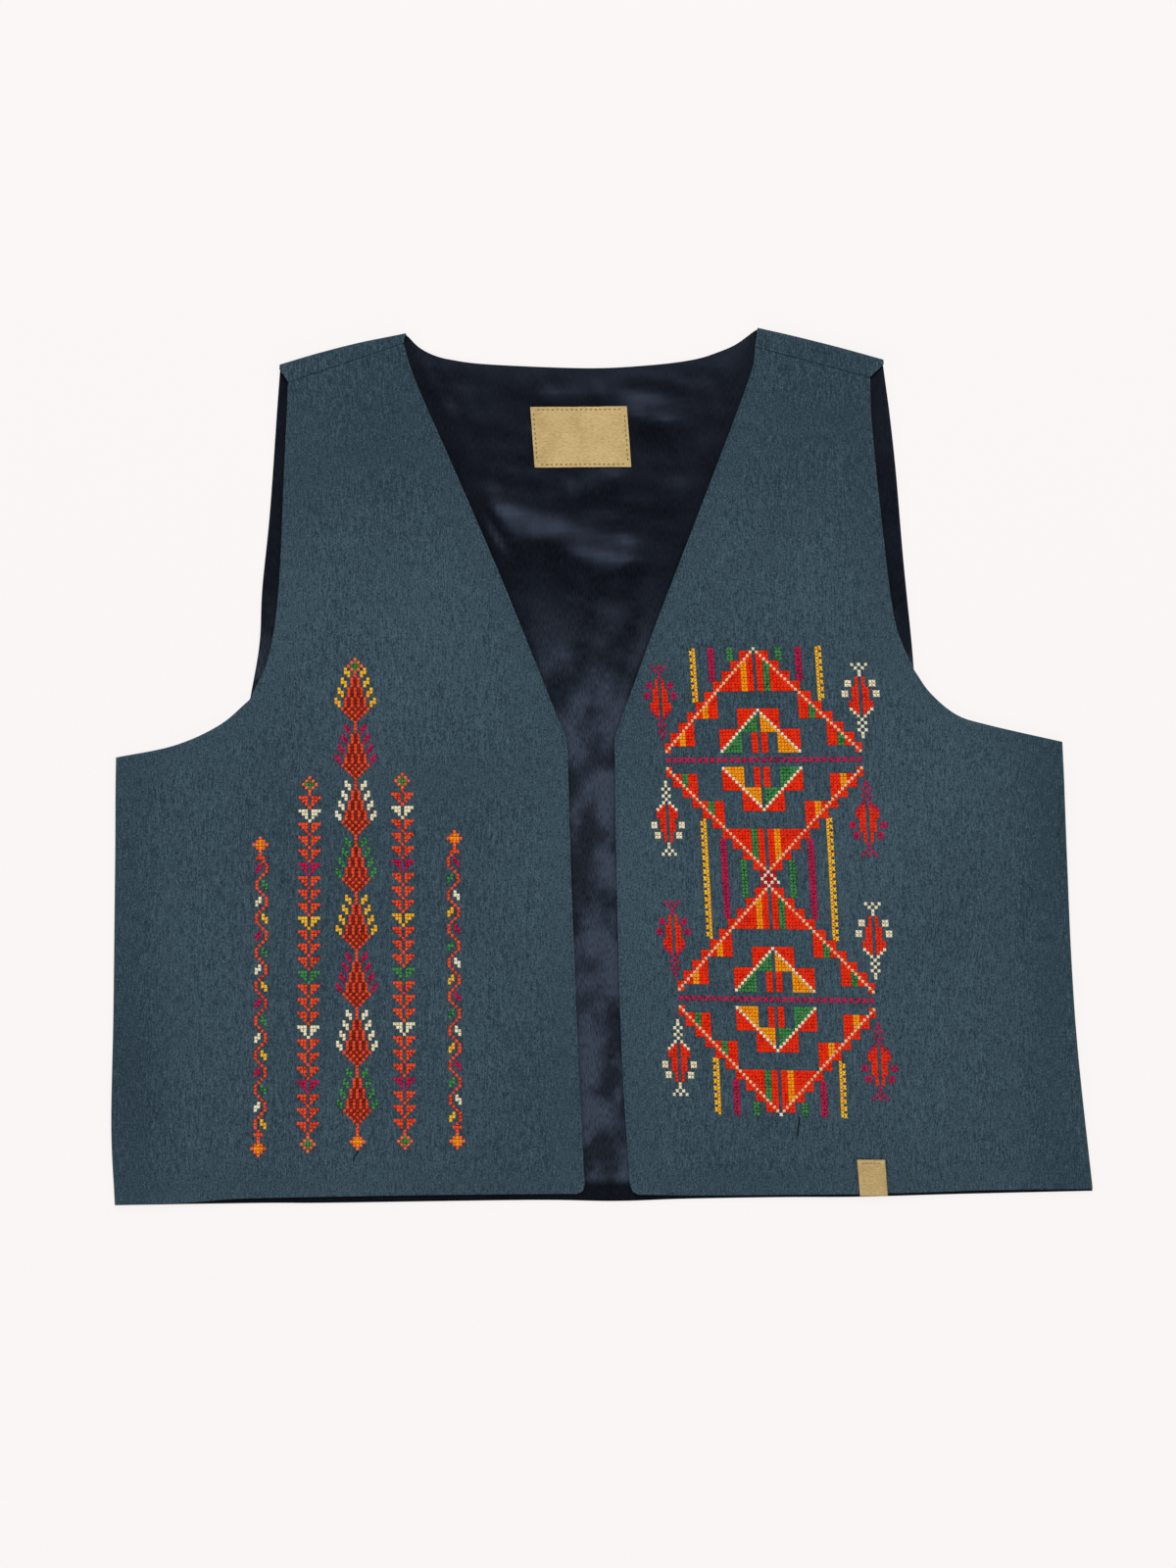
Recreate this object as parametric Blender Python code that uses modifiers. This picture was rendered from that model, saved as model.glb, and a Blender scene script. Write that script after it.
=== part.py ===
"""Open folk vest, laid flat on its back, face up.

Metres, +Z up, +Y towards the neck. The wearer's right front lies at -X and the left front at +X.
The tables below give sizes in millimetres, and each piece is made at its real size.

The back panel lies flat on the surface and turns over at the shoulders, so that each shoulder seam
sits a little in front of the fold. The back lining lies on the back panel. Two fronts lie on the
lining: each rolls down along its side seam to the back, and meets the back's turned strip at the
shoulder. A label is sewn to the lining and a tab is folded round the hem of the left front.
"""

import math

import bmesh
import bpy
from mathutils import Vector

MM = 0.001

# Walls and the height of each layer.
CLOTH_WALL = 1.4
LINING_WALL = 1.0
TAPE_WALL = 1.0
SEAM_GAP = 0.3
FOLD_RADIUS = 3.0
LINING_BOTTOM = CLOTH_WALL + SEAM_GAP
LINING_TOP = LINING_BOTTOM + LINING_WALL
FRONT_EDGE_TOP = LINING_TOP + SEAM_GAP + CLOTH_WALL + 0.2
FRONT_TOP = 2 * FOLD_RADIUS
SIDE_ROLL = 4.0
SIDE_SEAM_BOTTOM = CLOTH_WALL + SEAM_GAP + 0.5

# How far the lining is set back from the back panel's edges.
LINING_INSET = {"side": 2.6, "scoop": 2.2, "armhole": 1.0, "neck": 1.0, "fold": 4.0, "hem": 1.6}

# Cut edges of the two halves, as (x, y). "side" runs up the side seam to the underarm corner, "scoop"
# up the armhole to where the front and the back part, and the two armholes on to the shoulder.
HALVES = {
    "right": {
        "side": [(-275.6, -248.3), (-277.6, -204.0), (-276.4, -140.0), (-275.5, -62.0), (-274.6, 5.0)],
        "scoop": [(-274.6, 5.0), (-241.6, 11.8), (-216.1, 23.3), (-199.0, 37.7)],
        "front_armhole": [(-199.0, 37.7), (-188.2, 62.0), (-182.4, 101.0), (-179.6, 163.0), (-177.0, 217.6)],
        "back_armhole": [(-199.0, 37.7), (-193.6, 69.4), (-192.0, 101.0), (-187.4, 147.6), (-181.9, 227.8)],
        "seam": [(-177.0, 217.6), (-112.6, 240.0)],
        "hem": [(-275.6, -248.3), (-236.5, -247.4), (-210.8, -245.2), (-181.0, -244.3), (-100.0, -242.9), (-8.8, -241.4)],
        "front_edge": [(-8.8, -241.4), (-12.7, -165.0), (-16.7, -62.0), (-18.5, 0.0), (-18.9, 13.9)],
        "neck_edge": [(-18.9, 13.9), (-54.0, 101.0), (-80.9, 163.7), (-104.8, 218.1), (-112.6, 240.0)],
    },
    "left": {
        "side": [(277.6, -239.0), (269.5, -165.4), (265.5, -109.9), (262.6, -40.5), (261.5, 13.9)],
        "scoop": [(261.5, 13.9), (219.0, 23.6), (201.3, 29.4), (186.7, 41.6), (177.7, 54.4)],
        "front_armhole": [(177.7, 54.4), (167.1, 80.5), (160.6, 126.2), (153.8, 191.5), (152.4, 220.3)],
        "back_armhole": [(177.7, 54.4), (175.2, 72.4), (170.4, 118.2), (165.5, 174.9), (159.0, 230.3)],
        "seam": [(152.4, 220.3), (87.3, 237.7)],
        "hem": [(277.6, -239.0), (220.6, -239.2), (185.5, -241.0), (145.9, -242.5), (60.0, -243.0), (17.0, -241.7)],
        "front_edge": [(17.0, -241.7), (12.0, -165.4), (9.0, -62.0), (8.1, 0.0), (7.5, 15.0)],
        "neck_edge": [(7.5, 15.0), (31.2, 80.5), (48.9, 126.5), (83.5, 218.1), (87.3, 237.7)],
    },
}

# The back's top edge, from the right armhole over the folded shoulder and round the neck to the left
# armhole, and its hem, which hangs a little below the fronts' hems.
NECK_ENDS = (-110.4, 88.9)
BACK_TOP = [
    (-181.9, 227.8), (-160.4, 234.2), (-136.0, 240.6), (-110.4, 245.6), (-101.6, 237.5), (-85.5, 230.9),
    (-62.7, 227.6), (-7.2, 225.3), (28.9, 227.3), (53.3, 230.9), (72.7, 237.5), (88.9, 248.3),
    (107.7, 244.2), (134.9, 237.3), (159.0, 230.3),
]
BACK_HEM = [
    (-275.6, -248.3), (-193.0, -247.3), (-154.0, -246.4), (-40.0, -245.0), (8.0, -245.2), (48.0, -244.4),
    (104.0, -243.3), (146.0, -242.7), (203.0, -240.9), (277.6, -239.0),
]
TOP_REACH = 110.0
HEM_REACH = 60.0

# Rows of the grid along each stretch of the outer edge, and columns across the pieces.
ROWS = {"side": 11, "scoop": 7, "armhole": 8}
ROLL_ANGLES = (90, 60, 30, 0)
FRONT_COLUMNS = 14
SHOULDER_COLUMNS = 5
NECK_COLUMNS = 17
WRAP_STEPS = 6

# Soft folds that lie in the fronts and ripples in the lining: each runs from one end to the other,
# with its height over the cloth round it and half its width. A trough has a negative height.
FOLD_COLUMNS = ("start", "end", "height", "half_width")
FRONT_FOLDS = [
    ((-262.0, -20.0), (-263.0, -235.0), -0.9, 11.0),
    ((-244.0, -30.0), (-246.0, -190.0), 0.9, 15.0),
    ((-150.0, 170.0), (-104.0, 186.0), -1.0, 13.0),
    ((-128.0, 120.0), (-70.0, 60.0), 1.0, 22.0),
    ((-214.0, 14.0), (-170.0, -14.0), 1.1, 13.0),
    ((-150.0, -10.0), (-30.0, -6.0), -0.8, 12.0),
    ((-215.0, -150.0), (-60.0, -196.0), 0.9, 24.0),
    ((246.0, -10.0), (252.0, -225.0), -1.0, 11.0),
    ((226.0, -20.0), (232.0, -200.0), 0.9, 15.0),
    ((236.0, -196.0), (264.0, -232.0), 1.2, 11.0),
    ((92.0, 196.0), (146.0, 190.0), -1.0, 13.0),
    ((66.0, 90.0), (120.0, 150.0), 1.0, 22.0),
    ((20.0, -8.0), (60.0, -14.0), -0.7, 12.0),
    ((180.0, 34.0), (214.0, -8.0), 1.0, 14.0),
    ((60.0, -206.0), (200.0, -212.0), 0.8, 20.0),
]
LINING_RIPPLES = [
    ((-72.0, 156.0), (-30.0, 140.0), 1.3, 11.0),
    ((-34.0, 128.0), (16.0, 118.0), 1.5, 12.0),
    ((-58.0, 104.0), (-20.0, 84.0), 0.8, 11.0),
    ((10.0, 152.0), (56.0, 138.0), 0.9, 12.0),
    ((12.0, 88.0), (-12.0, 58.0), 0.9, 10.0),
    ((44.0, 204.0), (72.0, 196.0), 0.9, 10.0),
    ((-92.0, 206.0), (-60.0, 212.0), 0.6, 10.0),
]
RIPPLE_FREE_FROM = 14.0
RIPPLE_MARGIN = 22.0
EDGE_SETTLE = 26.0
SEAM_SETTLE = 34.0

# The two tapes sewn on: a label under the back neck, and a tab folded round the left front's hem.
NECK_LABEL = {"centre": (-12.4, 186.8), "width": 56.0, "length": 34.5, "turn": -1.2}
HEM_TAB = {"centre_x": 152.6, "width": 15.0, "length": 18.6, "turn": 1.8}

COLOURS = {
    "teal_cloth": ((0.036, 0.062, 0.081, 1.0), 0.92),
    "navy_satin": ((0.012, 0.014, 0.024, 1.0), 0.38),
    "cotton_tape": ((0.55, 0.40, 0.19, 1.0), 0.9),
}


def clear_scene():
    """Removes what the file opened with."""
    for thing in list(bpy.data.objects):
        bpy.data.objects.remove(thing, do_unlink=True)


def material(name):
    """A plain surface in one of the vest's colours."""
    made = bpy.data.materials.new(name)
    made.use_nodes = True
    colour, roughness = COLOURS[name]
    shader = made.node_tree.nodes["Principled BSDF"]
    shader.inputs["Base Color"].default_value = colour
    shader.inputs["Roughness"].default_value = roughness
    shader.inputs["Metallic"].default_value = 0.0
    return made


def ease(value):
    """0 below 0, 1 above 1, and a smooth step between."""
    value = min(max(value, 0.0), 1.0)
    return value * value * (3 - 2 * value)


def mix(start, end, share):
    return start + (end - start) * share


def smooth_path(points, steps):
    """Points evenly spaced along a smooth curve through a cut edge's own points."""
    knots = [Vector(point) for point in points]
    padded = [2 * knots[0] - knots[1]] + knots + [2 * knots[-1] - knots[-2]]
    fine = []
    for before, start, end, after in zip(padded, padded[1:], padded[2:], padded[3:]):
        for k in range(16):
            t = k / 16
            bend = (2 * before - 5 * start + 4 * end - after) * t * t
            twist = (3 * start - before - 3 * end + after) * t * t * t
            fine.append(0.5 * (2 * start + (end - before) * t + bend + twist))
    fine.append(knots[-1])
    lengths = [0.0]
    for a, b in zip(fine, fine[1:]):
        lengths.append(lengths[-1] + (b - a).length)
    spaced, at = [], 0
    for k in range(steps + 1):
        wanted = lengths[-1] * k / steps
        while at < len(fine) - 2 and lengths[at + 1] < wanted:
            at += 1
        share = (wanted - lengths[at]) / max(lengths[at + 1] - lengths[at], 1e-9)
        spaced.append(fine[at].lerp(fine[at + 1], min(share, 1.0)))
    return spaced


def across(path, wanted, known, value):
    """One coordinate of a path at a value of the other, which grows along the path."""
    if value <= path[0][known]:
        return path[0][wanted]
    for a, b in zip(path, path[1:]):
        if value <= b[known]:
            return mix(a[wanted], b[wanted], (value - a[known]) / max(b[known] - a[known], 1e-9))
    return path[-1][wanted]


def distance(path, spot):
    """How far a point is from a path."""
    nearest = 1e9
    for a, b in zip(path, path[1:]):
        run = b - a
        along = min(max((spot - a).dot(run) / run.length_squared, 0.0), 1.0)
        nearest = min(nearest, (spot - a - run * along).length)
    return nearest


def half_paths(half):
    """The finely spaced edges of one front."""
    cut = HALVES[half]
    hem = smooth_path(cut["hem"], 30)
    return {
        "inner": smooth_path(cut["front_edge"], 20) + smooth_path(cut["neck_edge"], 30)[1:],
        "armhole": smooth_path(cut["scoop"], 16) + smooth_path(cut["front_armhole"], 16)[1:],
        "hem": sorted(hem, key=lambda point: point.x),
        "seam": [Vector(point) for point in cut["seam"]],
    }


PATHS = {half: half_paths(half) for half in HALVES}
BACK_EDGES = {"top": smooth_path(BACK_TOP, 160), "hem": smooth_path(BACK_HEM, 60)}


def outer_edge(half, armhole):
    """One half's outer edge, from the hem to the shoulder, with a point for each row of the grid."""
    cut = HALVES[half]
    points = smooth_path(cut["side"], ROWS["side"])
    points += smooth_path(cut["scoop"], ROWS["scoop"])[1:]
    points += smooth_path(cut[armhole], ROWS["armhole"])[1:]
    return points


def ridges(folds, spot):
    """The height that a table of folds adds at a point."""
    total = 0.0
    for row in folds:
        fold = dict(zip(FOLD_COLUMNS, row))
        away = distance([Vector(fold["start"]), Vector(fold["end"])], spot) / fold["half_width"]
        total += fold["height"] * math.exp(-away * away)
    return total


def lining_rise(spot):
    """How far the lining ripples up. It lies flat where a front covers it, and at the neck."""
    from_right = spot.x - across(PATHS["right"]["inner"], 0, 1, spot.y)
    from_left = across(PATHS["left"]["inner"], 0, 1, spot.y) - spot.x
    from_neck = across(BACK_EDGES["top"], 1, 0, spot.x) - spot.y
    room = min(from_right, from_left, from_neck)
    return ease((room - RIPPLE_FREE_FROM) / RIPPLE_MARGIN) * max(ridges(LINING_RIPPLES, spot), 0.0)


def front_height(half, spot):
    """The top of a front at a point: its edges lie down on the lining and its middle lifts a little."""
    paths = PATHS[half]
    from_edge = min(distance(paths[name], spot) for name in ("inner", "armhole", "hem"))
    lifted = FRONT_TOP + ridges(FRONT_FOLDS, spot)
    free = mix(FRONT_EDGE_TOP, lifted, ease(from_edge / EDGE_SETTLE))
    return mix(FRONT_TOP, free, ease(distance(paths["seam"], spot) / SEAM_SETTLE))


def grid_piece(name, columns, rows, place, wall, outward, finish):
    """A sheet of cloth: a grid put in place point by point, given its wall on one side."""
    bpy.ops.mesh.primitive_grid_add(x_subdivisions=columns, y_subdivisions=rows, size=1)
    piece = bpy.context.object
    piece.name = piece.data.name = name
    for point in piece.data.vertices:
        column = round((point.co.x + 0.5) * columns)
        row = round((point.co.y + 0.5) * rows)
        point.co = Vector(place(column, row)) * MM
    piece.data.materials.append(finish)
    thick = piece.modifiers.new("wall", "SOLIDIFY")
    thick.thickness = wall * MM
    thick.offset = outward
    thick.use_even_offset = True
    piece.data.shade_smooth()
    return piece


def drop_faces(piece, unwanted):
    """Takes out the faces of a grid that the test picks by their number."""
    sheet = bmesh.new()
    sheet.from_mesh(piece.data)
    found = [face for face in sheet.faces if unwanted(face.index)]
    bmesh.ops.delete(sheet, geom=found, context="FACES")
    sheet.to_mesh(piece.data)
    sheet.free()


def bend_to(path, start, end, spot, reach):
    """How far a point moves so that the grid's straight first or last row takes a path's shape."""
    share = (spot.x - start.x) / (end.x - start.x)
    line = mix(start.y, end.y, share)
    nearness = max(1 - abs(spot.y - line) / reach, 0.0) ** 2
    return (across(path, 1, 0, spot.x) - line) * nearness


def make_front(half, cloth):
    """One front, from the hem to its shoulder seam, with its side rolled down to the back."""
    outer = outer_edge(half, "front_armhole")
    inner = PATHS[half]["inner"]
    rolled = len(ROLL_ANGLES) - 1
    columns = rolled + FRONT_COLUMNS
    low, high = outer[0].y, outer[-1].y

    def row_ends(row):
        """The outer and inner end of one row."""
        share = (outer[row].y - low) / (high - low)
        y = mix(inner[0].y, inner[-1].y, share)
        return outer[row], Vector((across(inner, 0, 1, y), y))

    def place(column, row):
        if half == "left":
            column = columns - column
        out, into = row_ends(row)
        width = (into - out).length
        angle = math.radians(ROLL_ANGLES[min(column, rolled)])
        if column < rolled:
            from_side = SIDE_ROLL * (1 - math.sin(angle))
        else:
            from_side = mix(SIDE_ROLL, width, (column - rolled) / FRONT_COLUMNS)
        spot = out.lerp(into, from_side / width)
        spot.y += bend_to(PATHS[half]["hem"], outer[0], inner[0], spot, HEM_REACH)
        top = front_height(half, spot)
        roll = ease((ROWS["side"] - row) / 3)
        z = mix(top, mix(SIDE_SEAM_BOTTOM, top, math.cos(angle)), roll)
        if row == len(outer) - 1:
            spot.y -= SEAM_GAP
        return spot.x, spot.y, z

    return grid_piece("front_" + half, columns, len(outer) - 1, place, CLOTH_WALL, -1, cloth)


def back_share(column):
    """The share of the way across that each column of the back stands for, closer at the neck's ends."""
    right, left = BACK_TOP[0][0], BACK_TOP[-1][0]
    start, end = ((x - right) / (left - right) for x in NECK_ENDS)
    if column <= SHOULDER_COLUMNS:
        return start * column / SHOULDER_COLUMNS
    if column <= SHOULDER_COLUMNS + NECK_COLUMNS:
        even = (column - SHOULDER_COLUMNS) / NECK_COLUMNS
        return mix(start, end, mix(even, 0.5 - 0.5 * math.cos(math.pi * even), 0.5))
    return mix(end, 1.0, (column - SHOULDER_COLUMNS - NECK_COLUMNS) / SHOULDER_COLUMNS)


def back_spot(column, row, right, left):
    """A point of the back's grid: rows run from edge to edge, and bend to the hem and the top."""
    spot = right[row].lerp(left[row], back_share(column))
    rise = bend_to(BACK_EDGES["top"], right[-1], left[-1], spot, TOP_REACH)
    drop = bend_to(BACK_EDGES["hem"], right[0], left[0], spot, HEM_REACH)
    return Vector((spot.x, spot.y + rise + drop))


def at_shoulder(column):
    return column <= SHOULDER_COLUMNS or column >= SHOULDER_COLUMNS + NECK_COLUMNS


def make_back(cloth):
    """The back, flat on the surface, with a strip at each shoulder turned over to the front."""
    right, left = outer_edge("right", "back_armhole"), outer_edge("left", "back_armhole")
    flat_rows = len(right) - 1
    columns = 2 * SHOULDER_COLUMNS + NECK_COLUMNS

    def place(column, row):
        spot = back_spot(column, min(row, flat_rows), right, left)
        if at_shoulder(column) and row >= flat_rows - 1:
            spot.y -= FOLD_RADIUS * (1.0 if row >= flat_rows else 0.5)
        if row <= flat_rows:
            return spot.x, spot.y, 0.0
        if row <= flat_rows + WRAP_STEPS:
            angle = math.pi * ((row - flat_rows) / WRAP_STEPS - 0.5)
            return spot.x, spot.y + FOLD_RADIUS * math.cos(angle), FOLD_RADIUS * (1 + math.sin(angle))
        if column <= SHOULDER_COLUMNS:
            seam, part = HALVES["right"]["seam"], column / SHOULDER_COLUMNS
        else:
            seam, part = HALVES["left"]["seam"], (columns - column) / SHOULDER_COLUMNS
        return mix(seam[0][0], seam[1][0], part), mix(seam[0][1], seam[1][1], part), FRONT_TOP

    def over_the_neck(index):
        column, row = index % columns, index // columns
        return row >= flat_rows and SHOULDER_COLUMNS <= column < SHOULDER_COLUMNS + NECK_COLUMNS

    piece = grid_piece("back_panel", columns, flat_rows + WRAP_STEPS + 1, place, CLOTH_WALL, 1, cloth)
    drop_faces(piece, over_the_neck)
    return piece


def set_in(edge, end):
    """An outer edge moved towards the middle of the piece, by the lining's inset of each stretch."""
    moved = []
    for row, point in enumerate(edge):
        before, after = edge[max(row - 1, 0)], edge[min(row + 1, len(edge) - 1)]
        run = (after - before).normalized()
        inward = Vector((run.y, -run.x)) * (1 if end == "right" else -1)
        stretch = "side" if row < ROWS["side"] else "scoop" if row < ROWS["side"] + ROWS["scoop"] else "armhole"
        moved.append(point + inward * LINING_INSET[stretch])
    return moved


def make_lining(satin):
    """The back lining, which lies on the back panel just inside its edges."""
    right = set_in(outer_edge("right", "back_armhole"), "right")
    left = set_in(outer_edge("left", "back_armhole"), "left")
    rows = len(right) - 1

    def place(column, row):
        spot = back_spot(column, row, right, left)
        near_top, near_hem = max(1 - (rows - row) / 6, 0.0), max(1 - row / 3, 0.0)
        spot.y -= near_top * LINING_INSET["fold" if at_shoulder(column) else "neck"]
        spot.y += near_hem * LINING_INSET["hem"]
        return spot.x, spot.y, LINING_BOTTOM + lining_rise(spot)

    return grid_piece("back_lining", 2 * SHOULDER_COLUMNS + NECK_COLUMNS, rows, place, LINING_WALL, 1, satin)


def make_neck_label(tape):
    """The label under the back neck, which follows the lining that it lies on."""
    turn = math.radians(NECK_LABEL["turn"])
    columns, rows = 6, 4

    def place(column, row):
        x = (column / columns - 0.5) * NECK_LABEL["width"]
        y = (row / rows - 0.5) * NECK_LABEL["length"]
        turned = Vector((x * math.cos(turn) - y * math.sin(turn), x * math.sin(turn) + y * math.cos(turn)))
        spot = Vector(NECK_LABEL["centre"]) + turned
        return spot.x, spot.y, LINING_TOP + lining_rise(spot) + SEAM_GAP

    return grid_piece("neck_label", columns, rows, place, TAPE_WALL, 1, tape)


def make_hem_tab(tape):
    """The tab on the left front: it lies on the cloth and turns down round the hem."""
    x = HEM_TAB["centre_x"]
    hem_y = across(PATHS["left"]["hem"], 1, 0, x)
    clear = SEAM_GAP + TAPE_WALL
    columns, flat_steps, turn_steps = 3, 4, 4

    def place(column, row):
        side = (column / columns - 0.5) * HEM_TAB["width"]
        if row == 0:
            y, z = hem_y - clear, FRONT_EDGE_TOP - CLOTH_WALL
        elif row <= turn_steps:
            angle = math.pi / 2 * (row - 1) / (turn_steps - 1)
            y = hem_y - clear * math.cos(angle)
            z = FRONT_EDGE_TOP + (clear + 0.1) * math.sin(angle)
        else:
            y = mix(hem_y, hem_y + HEM_TAB["length"], (row - turn_steps) / flat_steps)
            z = front_height("left", Vector((x + side, y))) + clear + 0.1
        lean = math.tan(math.radians(HEM_TAB["turn"])) * (hem_y - y)
        return x + side + lean, y, z

    return grid_piece("hem_tab", columns, flat_steps + turn_steps, place, TAPE_WALL, -1, tape)


def main():
    clear_scene()
    cloth, satin, tape = (material(name) for name in ("teal_cloth", "navy_satin", "cotton_tape"))
    vest = bpy.data.collections.new("folk_vest")
    bpy.context.scene.collection.children.link(vest)
    pieces = [
        make_back(cloth),
        make_lining(satin),
        make_front("right", cloth),
        make_front("left", cloth),
        make_neck_label(tape),
        make_hem_tab(tape),
    ]
    for piece in pieces:
        for home in list(piece.users_collection):
            home.objects.unlink(piece)
        vest.objects.link(piece)


main()
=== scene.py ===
import math

import bpy
import numpy as np
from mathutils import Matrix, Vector


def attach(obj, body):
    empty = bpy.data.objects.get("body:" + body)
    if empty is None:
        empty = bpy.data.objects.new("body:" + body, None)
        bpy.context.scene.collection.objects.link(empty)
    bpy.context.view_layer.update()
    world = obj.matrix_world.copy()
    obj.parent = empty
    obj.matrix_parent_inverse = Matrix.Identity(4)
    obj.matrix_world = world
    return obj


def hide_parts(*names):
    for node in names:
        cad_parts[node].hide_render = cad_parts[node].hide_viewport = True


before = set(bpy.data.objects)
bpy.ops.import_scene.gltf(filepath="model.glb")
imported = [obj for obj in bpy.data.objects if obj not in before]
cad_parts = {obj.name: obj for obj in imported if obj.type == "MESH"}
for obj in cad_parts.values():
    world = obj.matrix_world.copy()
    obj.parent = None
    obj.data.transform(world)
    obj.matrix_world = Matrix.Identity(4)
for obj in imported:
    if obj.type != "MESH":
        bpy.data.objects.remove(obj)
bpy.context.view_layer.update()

mm = 0.001  # tables below are in millimetres, on the scale of the solids

bpy.ops.object.select_all(action="DESELECT")


# camera and light

view = {"centre": (-7.2, -10.0), "frameHeight": 888.0, "clothHeight": 5.0, "lens": 85.0, "sensor": 36.0}
studio = {
    "floorColour": (250, 246, 245),
    "floorGlow": 0.92,
    "worldStrength": 0.05,
    "ring": {
        "height": 38, "distance": 2.4, "size": 1.2,
        "powers": {20: 16.0, 110: 18.5, 200: 19.5, 290: 18.0},  # by the turn of each lamp
    },
    "key": {"turn": 80, "height": 58, "distance": 2.4, "size": 0.7, "power": 19.0},
}


def paint(red, green, blue):
    # screen colour to the linear colour that a shader wants
    parts = [value / 255 for value in (red, green, blue)]
    return tuple(v / 12.92 if v < 0.04045 else ((v + 0.055) / 1.055) ** 2.4 for v in parts) + (1.0,)


def setUpCamera():
    distance = view["frameHeight"] * view["lens"] / view["sensor"] + view["clothHeight"]
    x, y = view["centre"]
    bpy.ops.object.camera_add(location=(x * mm, y * mm, distance * mm), rotation=(0, 0, 0))
    camera = bpy.context.object
    camera.name = "photoCamera"
    camera.data.lens = view["lens"]
    camera.data.sensor_width = view["sensor"]
    camera.data.clip_end = 50
    bpy.context.scene.camera = camera
    bpy.context.scene.view_settings.view_transform = "Standard"


def addLamp(name, turn, height, distance, size, power):
    # a square softbox aimed at the vest; turn is round the vest and height above the floor, in degrees
    turn, height = math.radians(turn), math.radians(height)
    away = Vector((math.cos(turn) * math.cos(height), math.sin(turn) * math.cos(height), math.sin(height)))
    aim = (-away).to_track_quat("-Z", "Y").to_euler()
    bpy.ops.object.light_add(type="AREA", location=away * distance, rotation=aim)
    lamp = bpy.context.object
    lamp.name = name
    lamp.data.size = size
    lamp.data.energy = power


setUpCamera()
ring, key = studio["ring"], studio["key"]
for turn, power in ring["powers"].items():
    addLamp(f"softbox{turn}", turn, ring["height"], ring["distance"], ring["size"], power)
addLamp("keySoftbox", key["turn"], key["height"], key["distance"], key["size"], key["power"])
world = bpy.data.worlds.new("studioFill")
bpy.context.scene.world = world
world.use_nodes = True
world.node_tree.nodes["Background"].inputs["Color"].default_value = (1.0, 0.985, 0.98, 1.0)
world.node_tree.nodes["Background"].inputs["Strength"].default_value = studio["worldStrength"]
print("camera and lights are set")


# materials

def startMaterial(name, roughness, sheen=0.0, sheenTint=(1, 1, 1, 1), specular=0.5):
    made = bpy.data.materials.new(name)
    made.use_nodes = True
    shader = made.node_tree.nodes["Principled BSDF"]
    shader.inputs["Roughness"].default_value = roughness
    shader.inputs["Specular IOR Level"].default_value = specular
    shader.inputs["Sheen Weight"].default_value = sheen
    shader.inputs["Sheen Roughness"].default_value = 0.5
    shader.inputs["Sheen Tint"].default_value = sheenTint
    return made, made.node_tree, shader


def stretchedNoise(tree, stretch, scale=1.0, detail=2.0, turn=0.0):
    # noise on the piece's own place in metres, with a number of grains per metre along x, y and z
    place = tree.nodes.new("ShaderNodeTexCoord")
    mapping = tree.nodes.new("ShaderNodeMapping")
    mapping.inputs["Scale"].default_value = stretch
    mapping.inputs["Rotation"].default_value = (0, 0, turn)
    noise = tree.nodes.new("ShaderNodeTexNoise")
    noise.inputs["Scale"].default_value = scale
    noise.inputs["Detail"].default_value = detail
    tree.links.new(place.outputs["Object"], mapping.inputs["Vector"])
    tree.links.new(mapping.outputs["Vector"], noise.inputs["Vector"])
    return noise.outputs["Fac"]


def threadLines(tree, direction, spacing, distortion=0.0):
    # even lines, one for each thread of a weave, "spacing" metres apart
    place = tree.nodes.new("ShaderNodeTexCoord")
    lines = tree.nodes.new("ShaderNodeTexWave")
    lines.bands_direction = direction
    lines.inputs["Scale"].default_value = math.pi / (10 * spacing)
    lines.inputs["Distortion"].default_value = distortion
    lines.inputs["Detail"].default_value = 0.0
    tree.links.new(place.outputs["Object"], lines.inputs["Vector"])
    return lines.outputs["Fac"]


def combine(tree, operation, first, second):
    node = tree.nodes.new("ShaderNodeMath")
    node.operation = operation
    for socket, value in zip(node.inputs, (first, second)):
        if isinstance(value, (int, float)):
            socket.default_value = value
        else:
            tree.links.new(value, socket)
    return node.outputs["Value"]


def weighted(tree, parts):
    # sum of several patterns, each with its share
    total = combine(tree, "MULTIPLY", parts[0][0], parts[0][1])
    for pattern, share in parts[1:]:
        total = combine(tree, "ADD", total, combine(tree, "MULTIPLY", pattern, share))
    return total


def colourRamp(tree, pattern, stops):
    ramp = tree.nodes.new("ShaderNodeValToRGB")
    elements = ramp.color_ramp.elements
    while len(elements) < len(stops):
        elements.new(0.5)
    for element, (place, colour) in zip(elements, stops):
        element.position = place
        element.color = paint(*colour)
    tree.links.new(pattern, ramp.inputs["Fac"])
    return ramp.outputs["Color"]


def addBump(tree, shader, pattern, height, strength=1.0, before=None):
    bump = tree.nodes.new("ShaderNodeBump")
    bump.inputs["Distance"].default_value = height
    bump.inputs["Strength"].default_value = strength
    tree.links.new(pattern, bump.inputs["Height"])
    if before is not None:
        tree.links.new(before, bump.inputs["Normal"])
    tree.links.new(bump.outputs["Normal"], shader.inputs["Normal"])
    return bump.outputs["Normal"]


def sharpened(tree, pattern, low, high):
    # a pattern spread so that it runs from 0 at its low value to 1 at its high one
    span = tree.nodes.new("ShaderNodeMapRange")
    span.interpolation_type = "SMOOTHSTEP"
    span.inputs["From Min"].default_value = low
    span.inputs["From Max"].default_value = high
    tree.links.new(pattern, span.inputs["Value"])
    return span.outputs["Result"]


def rampAlong(tree, axis, start, end):
    # 0 at one place along an axis and 1 at another, in metres
    place = tree.nodes.new("ShaderNodeTexCoord")
    split = tree.nodes.new("ShaderNodeSeparateXYZ")
    tree.links.new(place.outputs["Object"], split.inputs["Vector"])
    return sharpened(tree, split.outputs[axis], start, end)


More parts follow.
